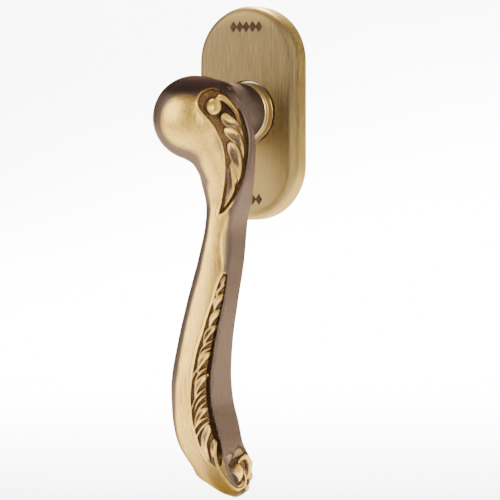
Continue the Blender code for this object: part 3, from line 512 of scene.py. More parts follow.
def neck_distance(points):
    height = -points[:, 1]
    side = np.hypot(points[:, 0], points[:, 2]) - NECK_RADIUS + NECK_EDGE
    foot = np.maximum(NECK_FOOT - height, height - NECK_TOP) + NECK_EDGE
    outside = np.hypot(np.maximum(side, 0.0), np.maximum(foot, 0.0))
    return outside + np.minimum(np.maximum(side, foot), 0.0) - NECK_EDGE


def melted(first, second, blend):
    """Smooth union of two distances."""
    mix = np.clip(0.5 + 0.5 * (second - first) / blend, 0.0, 1.0)
    return second + (first - second) * mix - blend * mix * (1.0 - mix)


def lever_distance(points):
    body = melted(grip_distance(points), head_distance(points), HEAD_BLEND)
    body = melted(body, shoulder_distance(points), SHOULDER_BLEND)
    return melted(body, neck_distance(points), NECK_BLEND)


def lever_slope(points, reach=0.02):
    """Gradient of the lever's distance by central differences."""
    slope = np.empty_like(points)
    for axis in range(3):
        step = np.zeros(3)
        step[axis] = reach
        slope[:, axis] = (lever_distance(points + step) - lever_distance(points - step)) / (2.0 * reach)
    return slope


def onto_lever(points, rounds=4):
    """Move points along the gradient until they lie on the lever's skin."""
    for each in range(rounds):
        slope = lever_slope(points)
        size = np.maximum((slope ** 2).sum(axis=1), 0.05)
        shift = lever_distance(points) / size
        points = points - np.clip(shift, -0.6, 0.6)[:, None] * slope
    return points


class Plane:
    """An upright drawing plane, from its across and towards directions; depths are looked for in a range."""

    def __init__(self, across, towards, deepest, nearest):
        self.across = np.array(across, float)
        self.towards = np.array(towards, float)
        self.deepest = deepest
        self.nearest = nearest
        self.mirrored = np.dot(np.cross(self.across, (0.0, 0.0, 1.0)), self.towards) < 0.0

    def flat(self, points):
        """Across, up and towards distances of world points."""
        return points @ self.across, points[:, 2], points @ self.towards

    def solid(self, a, b, q):
        """World points from across, up and towards distances."""
        return a[:, None] * self.across + b[:, None] * np.array((0.0, 0.0, 1.0)) + q[:, None] * self.towards

    def skin(self, a, b):
        """How far towards this plane's viewer the lever's skin stands, or nan beside the lever."""
        near = np.full(len(a), np.nan)
        far = np.full(len(a), np.nan)
        found = np.zeros(len(a), bool)
        for q in np.arange(self.nearest, self.deepest, -SEARCH_STEP):
            inside = lever_distance(self.solid(a, b, np.full(len(a), q))) < 0.0
            fresh = inside & ~found
            far[fresh] = q
            near[fresh] = q + SEARCH_STEP
            found |= inside
        return self.close_in(a, b, near, far, 10)[1]

    def close_in(self, a, b, near, far, rounds):
        """Halve the gap between depths outside and inside the lever, this many times."""
        for halving in range(rounds):
            middle = 0.5 * (near + far)
            inside = lever_distance(self.solid(a, b, middle)) < 0.0
            far = np.where(inside, middle, far)
            near = np.where(inside, near, middle)
        return near, far


SLANTED = Plane((math.cos(DRAWING_TURN), math.sin(DRAWING_TURN), 0.0),
                (math.sin(DRAWING_TURN), -math.cos(DRAWING_TURN), 0.0), 4.0, 61.5)
RIGHT_SIDE = Plane((0.0, 1.0, 0.0), (1.0, 0.0, 0.0), -3.0, 18.0)
LEFT_SIDE = Plane((0.0, 1.0, 0.0), (-1.0, 0.0, 0.0), -9.0, 16.0)


# ---------------------------------------------------------------- mesh helpers


def linked(name, mesh, material):
    """An object in the scene for a mesh, with its material."""
    item = bpy.data.objects.new(name, mesh)
    bpy.context.scene.collection.objects.link(item)
    mesh.materials.append(material)
    return item


def new_piece(name, vertices, faces, material, smooth=True):
    """An object from vertices in millimetres."""
    mesh = bpy.data.meshes.new(name)
    mesh.from_pydata((np.asarray(vertices, float) * MM).tolist(), [], faces)
    mesh.update()
    item = linked(name, mesh, material)
    if smooth:
        mesh.shade_smooth()
    return item


def give_finish(item, gold, grime, shade):
    """Store three numbers for each vertex, for patinated_brass to read: the gold finish, patina with painted
    shade, and painted shade.
    """
    for name, values in (("gold", gold), ("grime", grime), ("shade", shade)):
        layer = item.data.attributes.new(name, "FLOAT", "POINT")
        layer.data.foreach_set("value", np.asarray(values, np.float32))


def sheet_faces(rows, columns, wrap=False):
    """Quads over a grid of points; with wrap its last column meets its first."""
    faces = []
    last = columns if wrap else columns - 1
    for row in range(rows - 1):
        for column in range(last):
            after = (column + 1) % columns
            faces.append((row * columns + column, row * columns + after,
                          (row + 1) * columns + after, (row + 1) * columns + column))
    return faces


def end_caps(rows, columns):
    """One face for the first ring of a wrapped grid and one for its last."""
    return [tuple(range(columns)), tuple(range((rows - 1) * columns, rows * columns))]


# ---------------------------------------------------------------- carving on the drawing plane


def resampled(values, rows_from, columns_from, rows_to, columns_to):
    """A grid of values read at finer rows and columns."""
    wide = np.array([np.interp(columns_to, columns_from, row) for row in values])
    return np.array([np.interp(rows_to, rows_from, column) for column in wide.T]).T


def blurred(values, radius):
    """Gaussian blur of a grid; radius is in cells."""
    reach = max(int(3 * radius), 1)
    kernel = np.exp(-0.5 * (np.arange(-reach, reach + 1) / radius) ** 2)
    kernel /= kernel.sum()
    for axis in (0, 1):
        padding = [(reach, reach) if axis == each else (0, 0) for each in (0, 1)]
        padded = np.pad(values, padding, mode="edge")
        values = np.apply_along_axis(lambda line: np.convolve(line, kernel, mode="valid"), axis, padded)
    return values


def outline_distance(a, b, outline):
    """Distance from each point to a closed outline, positive inside it."""
    start = np.asarray(outline, float)
    end = np.roll(start, -1, axis=0)
    best = np.full(a.shape, 1e9)
    inside = np.zeros(a.shape, bool)
    for (xa, ya), (xb, yb) in zip(start, end):
        run, rise = xb - xa, yb - ya
        share = np.clip(((a - xa) * run + (b - ya) * rise) / max(run * run + rise * rise, 1e-12), 0.0, 1.0)
        best = np.minimum(best, (a - xa - share * run) ** 2 + (b - ya - share * rise) ** 2)
        if ya != yb:
            crosses = (ya > b) != (yb > b)
            inside ^= crosses & (a < xa + (b - ya) * run / rise)
    return np.where(inside, 1.0, -1.0) * np.sqrt(best)


class Carving:
    """One carved region of the lever, as a fine grid of depths on the drawing plane."""

    def __init__(self, name, plane, left, right):
        self.name = name
        self.plane = plane
        self.left = curve_through(left, EDGE_POINTS)
        self.right = curve_through(right, EDGE_POINTS)
        outline = np.concatenate((self.left, self.right[::-1][1:-1]))
        low = outline.min(axis=0) - CARVING_MARGIN - 0.3
        high = outline.max(axis=0) + CARVING_MARGIN + 0.3
        self.columns = np.arange(low[0], high[0], CARVING_CELL)
        self.rows = np.arange(low[1], high[1], CARVING_CELL)
        self.a, self.b = np.meshgrid(self.columns, self.rows)
        self.inner = outline_distance(self.a, self.b, outline)
        self.skin = self.uncarved()
        self.level = self.skin
        self.relief = np.zeros_like(self.a)

    def uncarved(self):
        """Depth of the lever's skin at each cell, carried on level past its outline."""
        coarse_columns, coarse_rows = [
            np.arange(line[0] - COARSE_CELL, line[-1] + 2.0 * COARSE_CELL, COARSE_CELL)
            for line in (self.columns, self.rows)]
        a, b = np.meshgrid(coarse_columns, coarse_rows)
        rough = self.plane.skin(a.ravel(), b.ravel()).reshape(a.shape)
        for row in rough:
            good = ~np.isnan(row)
            if good.any():
                row[~good] = np.interp(np.flatnonzero(~good), np.flatnonzero(good), row[good])
        guess = resampled(rough, coarse_rows, coarse_columns, self.rows, self.columns).ravel()
        near, far = guess + SKIN_REACH, guess - SKIN_REACH
        near, far = self.plane.close_in(self.a.ravel(), self.b.ravel(), near, far, 11)
        return (0.5 * (near + far)).reshape(self.a.shape)

    def edge(self, line):
        """Where a line crosses each of the grid's rows."""
        order = np.argsort(line[:, 1])
        return np.interp(self.rows, line[order, 1], line[order, 0])

    def span(self):
        """Depth of the metal if it ran straight from the left edge to the right, and the share of the way."""
        left_a = self.edge(self.left)
        right_a = self.edge(self.right)
        left_q = self.read(self.skin, left_a, self.rows)
        right_q = self.read(self.skin, right_a, self.rows)
        share = (self.a - left_a[:, None]) / np.maximum(right_a - left_a, 0.3)[:, None]
        share = np.clip(share, 0.0, 1.0)
        return left_q[:, None] + (right_q - left_q)[:, None] * share, share

    def read(self, values, a, b):
        """A grid's value at points, from its four nearest cells."""
        column = np.clip((a - self.columns[0]) / CARVING_CELL, 0, len(self.columns) - 1.001)
        row = np.clip((b - self.rows[0]) / CARVING_CELL, 0, len(self.rows) - 1.001)
        left, low = column.astype(int), row.astype(int)
        across, up = column - left, row - low
        below = values[low, left] * (1 - across) + values[low, left + 1] * across
        above = values[low + 1, left] * (1 - across) + values[low + 1, left + 1] * across
        return below * (1 - up) + above * up

    def raise_form(self, form):
        """Lay a raised form, given as (points, faces) with its height as the third number, on the floor."""
        points, faces = form
        tree = BVHTree.FromPolygons(points.tolist(), faces)
        low, high = points.min(axis=0), points.max(axis=0)
        down = Vector((0.0, 0.0, -1.0))
        rows = np.flatnonzero((self.rows > low[1]) & (self.rows < high[1]))
        columns = np.flatnonzero((self.columns > low[0]) & (self.columns < high[0]))
        for row in rows:
            for column in columns:
                place = Vector((self.columns[column], self.rows[row], 20.0))
                hit = tree.ray_cast(place, down)[0]
                if hit is not None and hit.z > self.relief[row, column]:
                    self.relief[row, column] = hit.z

    def piece(self, material, body):
        """The carved surface as an object."""
        up, lean = np.gradient(self.level, CARVING_CELL)
        bridged = (self.level is not self.skin) & (self.inner > -BRIDGE_MARGIN)
        keep = (self.inner > -CARVING_MARGIN) & ((np.hypot(lean, up) < STEEPEST_SKIN) | bridged)
        index = np.cumsum(keep.ravel()).reshape(keep.shape) - 1
        whole = keep[:-1, :-1] & keep[1:, :-1] & keep[:-1, 1:] & keep[1:, 1:]
        row, column = np.nonzero(whole)
        faces = np.stack((index[row, column], index[row, column + 1],
                          index[row + 1, column + 1], index[row + 1, column]), axis=1)
        if self.plane.mirrored:
            faces = faces[:, ::-1]
        a, b, q = self.a[keep], self.b[keep], self.depth[keep]
        points = self.plane.solid(a, b, q)
        item = new_piece(self.name, points, faces.tolist(), material)
        skin_points = self.plane.solid(a, b, self.skin[keep])
        gold, shade = finish_of(skin_points)
        inside = self.inside[keep]
        gold = gold * (1.0 - inside) + self.wear[keep] * inside
        give_finish(item, np.maximum(gold, self.bright[keep]), np.clip(self.grime[keep], 0.0, 1.0),
                    np.maximum(shade * (1.0 - inside), self.hollow[keep]))
        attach(item, body)
        return item


def unit(vectors):
    return vectors / np.maximum(np.linalg.norm(vectors, axis=1), 1e-9)[:, None]


def leaf(inner, outer, rise, hollow):
    """A raised leaf between its lower left and upper right edges, hollowed near its tip."""
    along, across = 70, 26
    first = curve_through(inner, along)
    second = curve_through(outer, along)
    run = np.linspace(0.0, 1.0, along)[:, None]
    reach = np.linspace(0.0, 1.0, across)[None, :]
    place = first[:, None, :] + (second - first)[:, None, :] * reach[..., None]
    width = np.linalg.norm(second - first, axis=1)[:, None]
    full = np.interp(reach, LEAF_ACROSS, LEAF_RISE)
    dip = hollow * bell(reach, *LEAF_HOLLOW_ACROSS) * bell(run, *LEAF_HOLLOW_ALONG)
    size = np.minimum(width / LEAF_FULL_WIDTH, 1.0) ** 0.7 * np.minimum(run / 0.05, 1.0) ** 0.5
    height = rise * (full - dip * np.minimum(width / LEAF_HOLLOW_WIDTH, 1.0)) * (0.35 + 0.65 * size)
    height = height - LEAF_TAIL_DROP * rise * smooth_steps(run, 0.55, 1.0)
    return form(place, height)


def form(place, height):
    """A raised form, as (points, faces), from a grid of places on the plane and their heights."""
    points = np.concatenate((place.reshape(-1, 2), height.reshape(-1, 1)), axis=1)
    return points, sheet_faces(*height.shape)


def lobe(tip, tail, half_width, rise, hollow):
    """A lens between two points, with a long hollow down its middle."""
    tip, tail = np.array(tip, float) + HUSK_TIP, np.array(tail, float) + HUSK_TAIL
    run = np.linspace(0.0, 1.0, 40)[:, None]
    reach = np.linspace(-1.0, 1.0, 22)[None, :]
    line = tail - tip
    side = np.array((-line[1], line[0])) / np.linalg.norm(line)
    bow = HUSK_BOW * np.linalg.norm(line) * np.sin(np.pi * run)
    width = half_width * np.sin(np.pi * np.clip(run, 0.005, 0.995) ** 0.62) ** 0.7
    centre = tip + line * run + side * bow
    place = centre[:, None, :] + side * (width * reach)[..., None]
    crown = np.clip(1.0 - np.abs(reach) ** 2.6, 0.0, 1.0) ** 0.6
    dip = hollow * bell(reach, *HUSK_HOLLOW) * np.sin(np.pi * run) ** 1.5
    return form(place, rise * (crown * (0.55 + 0.45 * np.sin(np.pi * run)) - dip))


def dome(centre, radii, rise, power=0.5):
    """A rounded boss in the drawing plane."""
    rings, around = 16, 40
    share = np.linspace(0.0, 1.0, rings)[:, None]
    angle = np.linspace(0.0, 2.0 * np.pi, around, endpoint=False)[None, :]
    a = centre[0] + radii[0] * share * np.cos(angle)
    b = centre[1] + radii[1] * share * np.sin(angle)
    height = np.broadcast_to(rise * np.clip(1.0 - share ** 2, 0.0, 1.0) ** power, a.shape)
    points = np.stack((a.ravel(), b.ravel(), height.ravel()), axis=1)
    return points, sheet_faces(rings, around, wrap=True)


def head_carving():
    """The comma-shaped recess on the head, with its volute, its crescent and its overlapping leaves."""
    carving = Carving("head_carving", SLANTED, RECESS_LEFT, RECESS_RIGHT)
    span, share = carving.span()
    change = np.minimum(VALLEY_FILL, span + 0.25 - carving.skin)
    change = np.where(change < 0.0, SPAN_SHARE * change, change)
    carving.level = carving.skin + change * smooth_steps(carving.inner, 0.0, 1.2)
    floor_depth = HEAD_DEPTH + HEAD_EXTRA_DEPTH * smooth_steps(share, 0.55, 0.95)
    floor = carving.level - smooth_steps(carving.inner, 0.0, 0.75) * floor_depth
    for inner, outer, rise, hollow in HEAD_LEAVES:
        carving.raise_form(leaf(inner, outer, rise, hollow))
    carving.raise_form(dome(VOLUTE_CENTRE, VOLUTE_RADII, VOLUTE_RISE))
    return finish_carving(carving, floor, HEAD_BEAD, HEAD_HOLLOW)


def strip_carving():
    """The long strip of slanting husks down the lever's front right edge."""
    carving = Carving("strip_carving", SLANTED, STRIP_LEFT, STRIP_RIGHT)
    lobe_edge = carving.edge(curve_through(STRIP_LOBES, EDGE_POINTS))[:, None]
    channel = smooth_steps(carving.a - lobe_edge, -0.35, 0.25)
    shallow = STRIP_DEPTH * np.maximum(smooth_steps(carving.b, *STRIP_FOOT), 0.25)
    floor_depth = shallow + (CHANNEL_DEPTH - STRIP_DEPTH) * channel
    floor = carving.skin - smooth_steps(carving.inner, 0.0, 0.45) * floor_depth
    for tip, tail, half_width, rise, hollow in STRIP_HUSKS:
        carving.raise_form(lobe(tip, tail, half_width, rise, hollow))
    for inner, outer, rise, hollow in STRIP_LEAVES:
        carving.raise_form(leaf(inner, outer, rise, hollow))
    return finish_carving(carving, floor, STRIP_BEAD, STRIP_HOLLOW)


def finish_carving(carving, floor, bead, hollow):
    """Soften the relief like a casting, lay it on the floor, raise the bead and find the tones."""
    relief = blurred(carving.relief, CAST_SOFTNESS / CARVING_CELL)
    rise, width, reach = bead
    middle = 0.5 * (carving.edge(carving.left) + carving.edge(carving.right))[:, None]
    fading = smooth_steps(carving.a - middle - reach, 0.0, 1.0)
    crest = bell(carving.inner, BEAD_PLACE, width) * (1.0 - fading)
    lift = RIM_RISE * smooth_steps(carving.inner, -CARVING_MARGIN, -SINK_MARGIN) - RIM_TUCK
    carved = floor + relief * smooth_steps(carving.inner, 0.0, 0.35)
    carving.depth = np.where(carving.inner > 0.0, carved, carving.skin) + rise * crest + lift
    find_tones(carving, relief, hollow)
    carving.bright = smooth_steps(crest, 0.3, 0.8) * (rise > 0.0)
    return carving


def find_tones(carving, relief, hollow):
    """Find a carving's tones: patina on low relief and in crevices, painted shade in crevices, on steep or
    left-facing slopes and in deep hollows, and its worn tops.
    """
    under = carving.skin - carving.depth
    in_recess = smooth_steps(under, 0.2, 0.8)
    crevice = (blurred(carving.depth, CREVICE_SOFTNESS / CARVING_CELL) - carving.depth) / CREVICE_DEPTH
    relief_over_skin = blurred(carving.depth - carving.skin, SLOPE_SOFTNESS / CARVING_CELL)
    up_slope, lean = np.gradient(relief_over_skin, CARVING_CELL)
    steep = smooth_steps(np.hypot(lean, up_slope), 0.5, 1.7)
    left_facing = smooth_steps(lean, 0.1, 1.1)
    low_relief = 1.0 - smooth_steps(relief, 0.0, 0.5)
    # Patina on low relief and in crevices, and painted shade in crevices and on left-facing and steep slopes.
    grime = np.maximum.reduce((LOW_PATINA_AND_SHADE * low_relief * in_recess, np.clip(crevice, 0.0, 1.0) ** 0.8,
                               LOW_PATINA_AND_SHADE * left_facing * in_recess, STEEP_SHADE * steep * in_recess))
    carving.grime = grime * smooth_steps(carving.inner, -0.12, 0.22)
    carving.inside = smooth_steps(carving.inner, 0.1, 0.5)
    # Worn gold on high relief, less of it on slopes that face left, as painted shade.
    carving.wear = smooth_steps(relief, *WORN_RELIEF) * (1.0 - LOW_PATINA_AND_SHADE * left_facing)
    # Painted shade in the deep hollows.
    carving.hollow = DEEP_SHADE * smooth_steps(under, *hollow) * carving.inside


def scroll_carving(name, plane, strength):
    """One side of the scroll at the tip: its eye, the curl round it and two small leaves."""
    carving = Carving(name, plane, SCROLL_FRONT, SCROLL_BACK)
    around = np.hypot((carving.a - EYE_CENTRE[0]) / EYE_RADII[0], (carving.b - EYE_CENTRE[1]) / EYE_RADII[1])
    floor_depth = SCROLL_DEPTH + EYE_DITCH * bell(around, 1.15, 0.25)
    floor = carving.skin - strength * smooth_steps(carving.inner, 0.0, 0.6) * floor_depth
    for inner, outer, rise, hollow in SCROLL_LEAVES:
        carving.raise_form(leaf(inner, outer, rise, hollow))
    carving.raise_form(dome(EYE_CENTRE, EYE_RADII, EYE_RISE, 0.6))
    carving.relief *= strength
    return finish_carving(carving, floor, SCROLL_BEAD, SCROLL_HOLLOW)


# ---------------------------------------------------------------- the lever


def swept(name, centres, radii, sink, worn, material):
    """A round bar along a path on the lever's skin, partly sunk in it, gold on top, dark with patina and
    painted shade at its foot, and painted shade all over.
    """
    outward = unit(lever_slope(centres, NORMAL_REACH))
    centres = centres - sink * radii[:, None] * outward
    forward = unit(np.gradient(centres, axis=0))
    side = unit(np.cross(forward, outward))
    rise = np.cross(side, forward)
    rise *= np.sign((rise * outward).sum(axis=1))[:, None]
    angle = np.linspace(0.0, 2.0 * np.pi, BAR_SIDES, endpoint=False)
    ring = np.cos(angle)[None, :, None] * side[:, None, :] + np.sin(angle)[None, :, None] * rise[:, None, :]
    points = (centres[:, None, :] + radii[:, None, None] * ring).reshape(-1, 3)
    count = len(centres)
    faces = sheet_faces(count, BAR_SIDES, wrap=True) + end_caps(count, BAR_SIDES)
    item = new_piece(name, points, faces, material)
    top = np.tile(np.sin(angle), count)
    give_finish(item, smooth_steps(top, 0.4, 0.97) * np.repeat(worn, BAR_SIDES),
                0.9 * smooth_steps(-top, -0.6, 0.1), np.full(len(points), BAR_SHADE))
    make_outward(item)
    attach(item, "handle")
    return item


def scroll_bar(name, path, sizes, sink, material, mirrored, back):
    """A raised bar drawn on the slanted plane, on the right of the scroll or mirrored to its left."""
    count = 90
    place = curve_through(path, count)
    radii = np.interp(np.linspace(0.0, 1.0, count), *zip(*sizes))
    q = SLANTED.skin(place[:, 0], place[:, 1])
    known = ~np.isnan(q)
    q = np.interp(np.arange(count), np.flatnonzero(known), q[known])
    centres = SLANTED.solid(place[:, 0], place[:, 1], blurred(q[:, None], 3.0)[:, 0])
    if mirrored:
        left, right = through(GRIP_LEVELS, centres[:, 2])[:2]
        centres[:, 0] = left + right - centres[:, 0]
        centres[:, 1] += back
    return swept(name, onto_lever(centres, 8), radii, sink, np.ones(count), material)


def scroll_edges(material):
    """The band that frames each side of the scroll, and the hooked lobe behind each eye."""
    bars = (("band", BAND_PATH, BAND_RADII, BAND_SINK, LEFT_BAND_BACK),
            ("claw", CLAW_PATH, CLAW_RADII, CLAW_SINK, 0.0))
    for side, mirrored in (("right", False), ("left", True)):
        for name, path, radii, sink, back in bars:
            scroll_bar("scroll_%s_%s" % (name, side), path, radii, sink, material, mirrored, back)


def scroll_roll(number, material):
    """One of the rolls that wrap round the back of the scroll from side to side."""
    level, radius, lean = ROLLS[number]
    turn = np.linspace(-ROLL_TURN, ROLL_TURN, 60)
    left, right = GRIP_LEVELS[ROLL_MIDDLE_LEVEL][1:3]
    x = 0.5 * (left + right) + ROLL_ARC * np.sin(turn)
    height = ROLL_MIDDLE_HEIGHT - ROLL_ARC * np.cos(turn)
    z = level + lean * (height - ROLL_MIDDLE_HEIGHT)
    centres = onto_lever(np.stack((x, -height, z), axis=1), 12)
    fading = np.clip(1.0 - (turn / (1.04 * ROLL_TURN)) ** 2, 0.02, 1.0)
    name = "scroll_roll_%d" % (number + 1)
    return swept(name, centres, radius * fading ** 0.75, ROLL_SINK, fading ** 0.7, material)


def finish_of(points):
    """(gold, shade) for skin points: the front is brushed back to gold, and the sides keep their patina. The
    shade is painted shade: a dark band over the top of the ball, and a darker, duller gold towards the tip,
    which faces down.
    """
    normals = unit(lever_slope(points, NORMAL_REACH))
    z = points[:, 2]
    front = normals @ (np.array(GOLD_DIRECTION) / np.linalg.norm(GOLD_DIRECTION))
    low = smooth_steps(-z, *TURNING_RANGE) * (normals[:, 1] < BACK_FACING)
    front = front * (1.0 - low) + low * np.hypot(normals[:, 1], normals[:, 2])
    across, up = SLANTED.flat(points)[:2]
    limit_across, limit_up = np.array(GOLD_RIGHT).T
    beyond = across - np.interp(up, limit_up, limit_across)
    soft = between_carvings(z)
    wider, shift = GOLD_SOFTNESS
    beyond = (beyond - shift * soft) / (1.0 + (wider - 1.0) * soft)
    gold = smooth_steps(front, *GOLD_FACING) * (1.0 - smooth_steps(beyond, *GOLD_RIGHT_EDGE) * (z > GOLD_END))
    gold = gold * (1.0 - TIP_DULLING * smooth_steps(-z, *TIP_RANGE))
    # Painted shade: a dark band over the top of the ball, and darker towards the downward-facing tip.
    looks_up = normals[:, 2]
    band = smooth_steps(looks_up, *TOP_BAND_IN)
    band = band * (1.0 - TOP_BAND_FADE * smooth_steps(looks_up, *TOP_BAND_OUT))
    band = band * smooth_steps(z, *TOP_BAND_LEVEL) * smooth_steps(-points[:, 1], *TOP_BAND_HEIGHT)
    return gold, np.maximum(TOP_BAND_DARKNESS * band, TIP_DARKNESS * smooth_steps(-z, *TIP_RANGE))


def rough_grip():
    """Four-cornered rings up the grip, a little inside its skin: (points, faces)."""
    levels = np.linspace(GRIP_LEVELS[0][0] - 0.3, GRIP_LEVELS[-1][0] + 0.3, ROUGH_ROWS)
    angle = np.linspace(0.0, 2.0 * np.pi, ROUGH_SIDES, endpoint=False)
    left, right, front, back = through(GRIP_LEVELS, levels)[:4]
    bulge = np.maximum(np.abs(np.cos(angle)), np.abs(np.sin(angle)))[None, :]
    reach = 0.5 * ROUGH_SHARE
    x = 0.5 * (left + right)[:, None] + reach * (right - left)[:, None] * np.cos(angle) / bulge
    height = 0.5 * (front + back)[:, None] + reach * (front - back)[:, None] * np.sin(angle) / bulge
    z = np.repeat(levels[:, None], ROUGH_SIDES, axis=1)
    faces = sheet_faces(ROUGH_ROWS, ROUGH_SIDES, wrap=True) + end_caps(ROUGH_ROWS, ROUGH_SIDES)
    return np.stack((x, -height, z), axis=-1).reshape(-1, 3), faces


def taken(mesh, change):
    """The points of a bmesh, changed, and its faces; the bmesh is freed."""
    points = change(np.array([vertex.co for vertex in mesh.verts]))
    faces = [tuple(vertex.index for vertex in face.verts) for face in mesh.faces]
    mesh.free()
    return points, faces


def rough_ball(centre, radius):
    """A ball whose centre is given as X, height and Z."""
    mesh = bmesh.new()
    bmesh.ops.create_uvsphere(mesh, u_segments=48, v_segments=32, radius=radius)
    x, height, z = centre
    return taken(mesh, lambda points: points + np.array((x, -height, z)))


def rough_neck():
    mesh = bmesh.new()
    bmesh.ops.create_cone(mesh, cap_ends=True, segments=64, radius1=NECK_RADIUS, radius2=NECK_RADIUS,
                          depth=NECK_TOP - NECK_FOOT)
    middle = 0.5 * (NECK_TOP + NECK_FOOT)
    return taken(mesh, lambda points: np.stack((points[:, 0], points[:, 2] - middle, points[:, 1]), axis=1))


def rough_lever():
    """Rough closed forms of the grip, head and neck, to be remeshed together."""
    forms = [rough_grip(), rough_ball(HEAD_CENTRE, HEAD_RADIUS)]
    (top, top_radius), (foot, foot_radius) = SHOULDER_TOP, SHOULDER_FOOT
    for share in np.linspace(0.0, 1.0, 8):
        centre = np.array(top) + share * (np.array(foot) - np.array(top))
        forms.append(rough_ball(centre, top_radius + share * (foot_radius - top_radius)))
    forms.append(rough_neck())
    points, faces = [], []
    start = 0
    for some_points, some_faces in forms:
        points.append(some_points)
        faces += [tuple(index + start for index in face) for face in some_faces]
        start += len(some_points)
    return np.concatenate(points), faces


def remeshed(points, faces, cell):
    """An even quad mesh over the union of closed forms: (points, quads), in millimetres."""
    rough = new_piece("rough", points, faces, None)
    normals = bmesh.new()
    normals.from_mesh(rough.data)
    bmesh.ops.recalc_face_normals(normals, faces=normals.faces)
    normals.to_mesh(rough.data)
    normals.free()
    change = rough.modifiers.new("remesh", "REMESH")
    change.mode = "VOXEL"
    change.voxel_size = cell * MM
    mesh = rough.evaluated_get(bpy.context.evaluated_depsgraph_get()).to_mesh()
    found = np.empty(len(mesh.vertices) * 3)
    mesh.vertices.foreach_get("co", found)
    found = found.reshape(-1, 3) / MM
    quads = [tuple(face.vertices) for face in mesh.polygons]
    rough_mesh = rough.data
    bpy.data.objects.remove(rough)
    bpy.data.meshes.remove(rough_mesh)
    return found, quads


def relaxed(points, faces, rounds):
    """Even out a mesh over the lever's skin."""
    quads = np.array([face for face in faces if len(face) == 4])
    edges = np.concatenate([quads[:, [each, (each + 1) % 4]] for each in range(4)])
    edges = np.unique(np.sort(edges, axis=1), axis=0)
    count = np.bincount(edges.ravel(), minlength=len(points)).astype(float)
    for each in range(rounds):
        total = np.zeros_like(points)
        for axis in range(3):
            for here, there in (edges.T, edges.T[::-1]):
                total[:, axis] += np.bincount(here, points[there, axis], len(points))
        mean = total / np.maximum(count, 1.0)[:, None]
        mean = np.where(count[:, None] > 0, mean, points)
        points = onto_lever(points + 0.5 * (mean - points), 2)
    return points


def lever_body(carvings, material):
    """The smooth cast lever, sunk behind each carved region."""
    points, faces = remeshed(*rough_lever(), LEVER_CELL)
    points = relaxed(onto_lever(points, 5), faces, 5)
    gold, shade = finish_of(points)
    for carving in carvings:
        a, b, q = carving.plane.flat(points)
        within = (a > carving.columns[0]) & (a < carving.columns[-1])
        within &= (b > carving.rows[0]) & (b < carving.rows[-1])
        inner = np.where(within, carving.read(carving.inner, a, b), -1.0)
        facing = q > carving.read(carving.skin, a, b) - SINK_REACH
        sunk = within & (inner > -SINK_MARGIN) & facing
        target = np.minimum(q, carving.read(carving.depth, a, b) - SINK)
        points = np.where(sunk[:, None], carving.plane.solid(a, b, target), points)
    item = new_piece("lever_body", points, faces, material)
    give_finish(item, gold, np.zeros(len(points)), shade)
    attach(item, "handle")
    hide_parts("lever")
    return item


def lathe(name, profile, around, material, body):
    """A turned piece round the spindle's axis; its profile is (radius, height) pairs, closed."""
    rings = np.array(profile, float)
    angle = np.linspace(0.0, 2.0 * np.pi, around, endpoint=False)
    x = rings[:, :1] * np.cos(angle)
    z = rings[:, :1] * np.sin(angle)
    y = np.broadcast_to(-rings[:, 1:2], x.shape)
    points = np.stack((x, y, z), axis=-1).reshape(-1, 3)
    item = new_piece(name, points, sheet_faces(len(rings), around, wrap=True), material)
    make_outward(item)
    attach(item, body)
    return item


def make_outward(item):
    """Join points that coincide, and turn every face outwards."""
    mesh = bmesh.new()
    mesh.from_mesh(item.data)
    bmesh.ops.remove_doubles(mesh, verts=mesh.verts, dist=1e-7)
    bmesh.ops.recalc_face_normals(mesh, faces=mesh.faces)
    mesh.to_mesh(item.data)
    mesh.free()


def sharpened(item, degrees=32.0):
    """Split the shading at edges sharper than this angle."""
    item.data.set_sharp_from_angle(angle=math.radians(degrees))


def lever_shank(material):
    """The turned seat under the neck and the shank below it."""
    profile = ((0.0, SEAT_TOP), (SEAT_RADIUS, SEAT_TOP), (SEAT_RADIUS, SEAT_FOOT + SEAT_CHAMFER),
               (SEAT_RADIUS - SEAT_CHAMFER, SEAT_FOOT), (SHANK_RADIUS + SHANK_FILLET, SEAT_FOOT),
               (SHANK_RADIUS, SEAT_FOOT - SHANK_FILLET), (SHANK_RADIUS, SHANK_FOOT), (0.0, SHANK_FOOT))
    shank = lathe("lever_shank", profile, 96, material, "handle")
    sharpened(shank)
    return shank


def square_end(material):
    """The 9 mm square that carries the index disc below the shank, with its corners and its end chamfered.

    It is solid: the CAD lever's spindle socket, circlip groove and pin hole are out of sight and left out.
    """
    corners = []
    for turn in range(4):
        angle = turn * math.pi / 2.0
        for along in (SQUARE_FLAT - SQUARE_CHAMFER, SQUARE_CHAMFER - SQUARE_FLAT):
            corners.append((along * math.cos(angle) - SQUARE_FLAT * math.sin(angle),
                            along * math.sin(angle) + SQUARE_FLAT * math.cos(angle)))
    corners.sort(key=lambda corner: math.atan2(corner[1], corner[0]))
    points = [(x * scale, -height, z * scale) for height, scale in SQUARE_LEVELS for x, z in corners]
    size = (len(SQUARE_LEVELS), len(corners))
    faces = sheet_faces(*size, wrap=True) + end_caps(*size)
    item = new_piece("lever_square", points, faces, material, smooth=False)
    make_outward(item)
    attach(item, "handle")
    return item


# ---------------------------------------------------------------- the rose and its collar


def stadium(radius, around=40, along=12):
    """Outline of the rose, pulled in to this radius round the ends, with points along its straight sides."""
    points = []
    for sign in (1.0, -1.0):
        for step in range(around + 1):
            angle = math.pi * step / around
            points.append((sign * radius * math.cos(angle),
                           sign * (ROSE_STRAIGHT + radius * math.sin(angle))))
        for step in range(1, along):
            points.append((-sign * radius, sign * ROSE_STRAIGHT * (1.0 - 2.0 * step / along)))
    return points


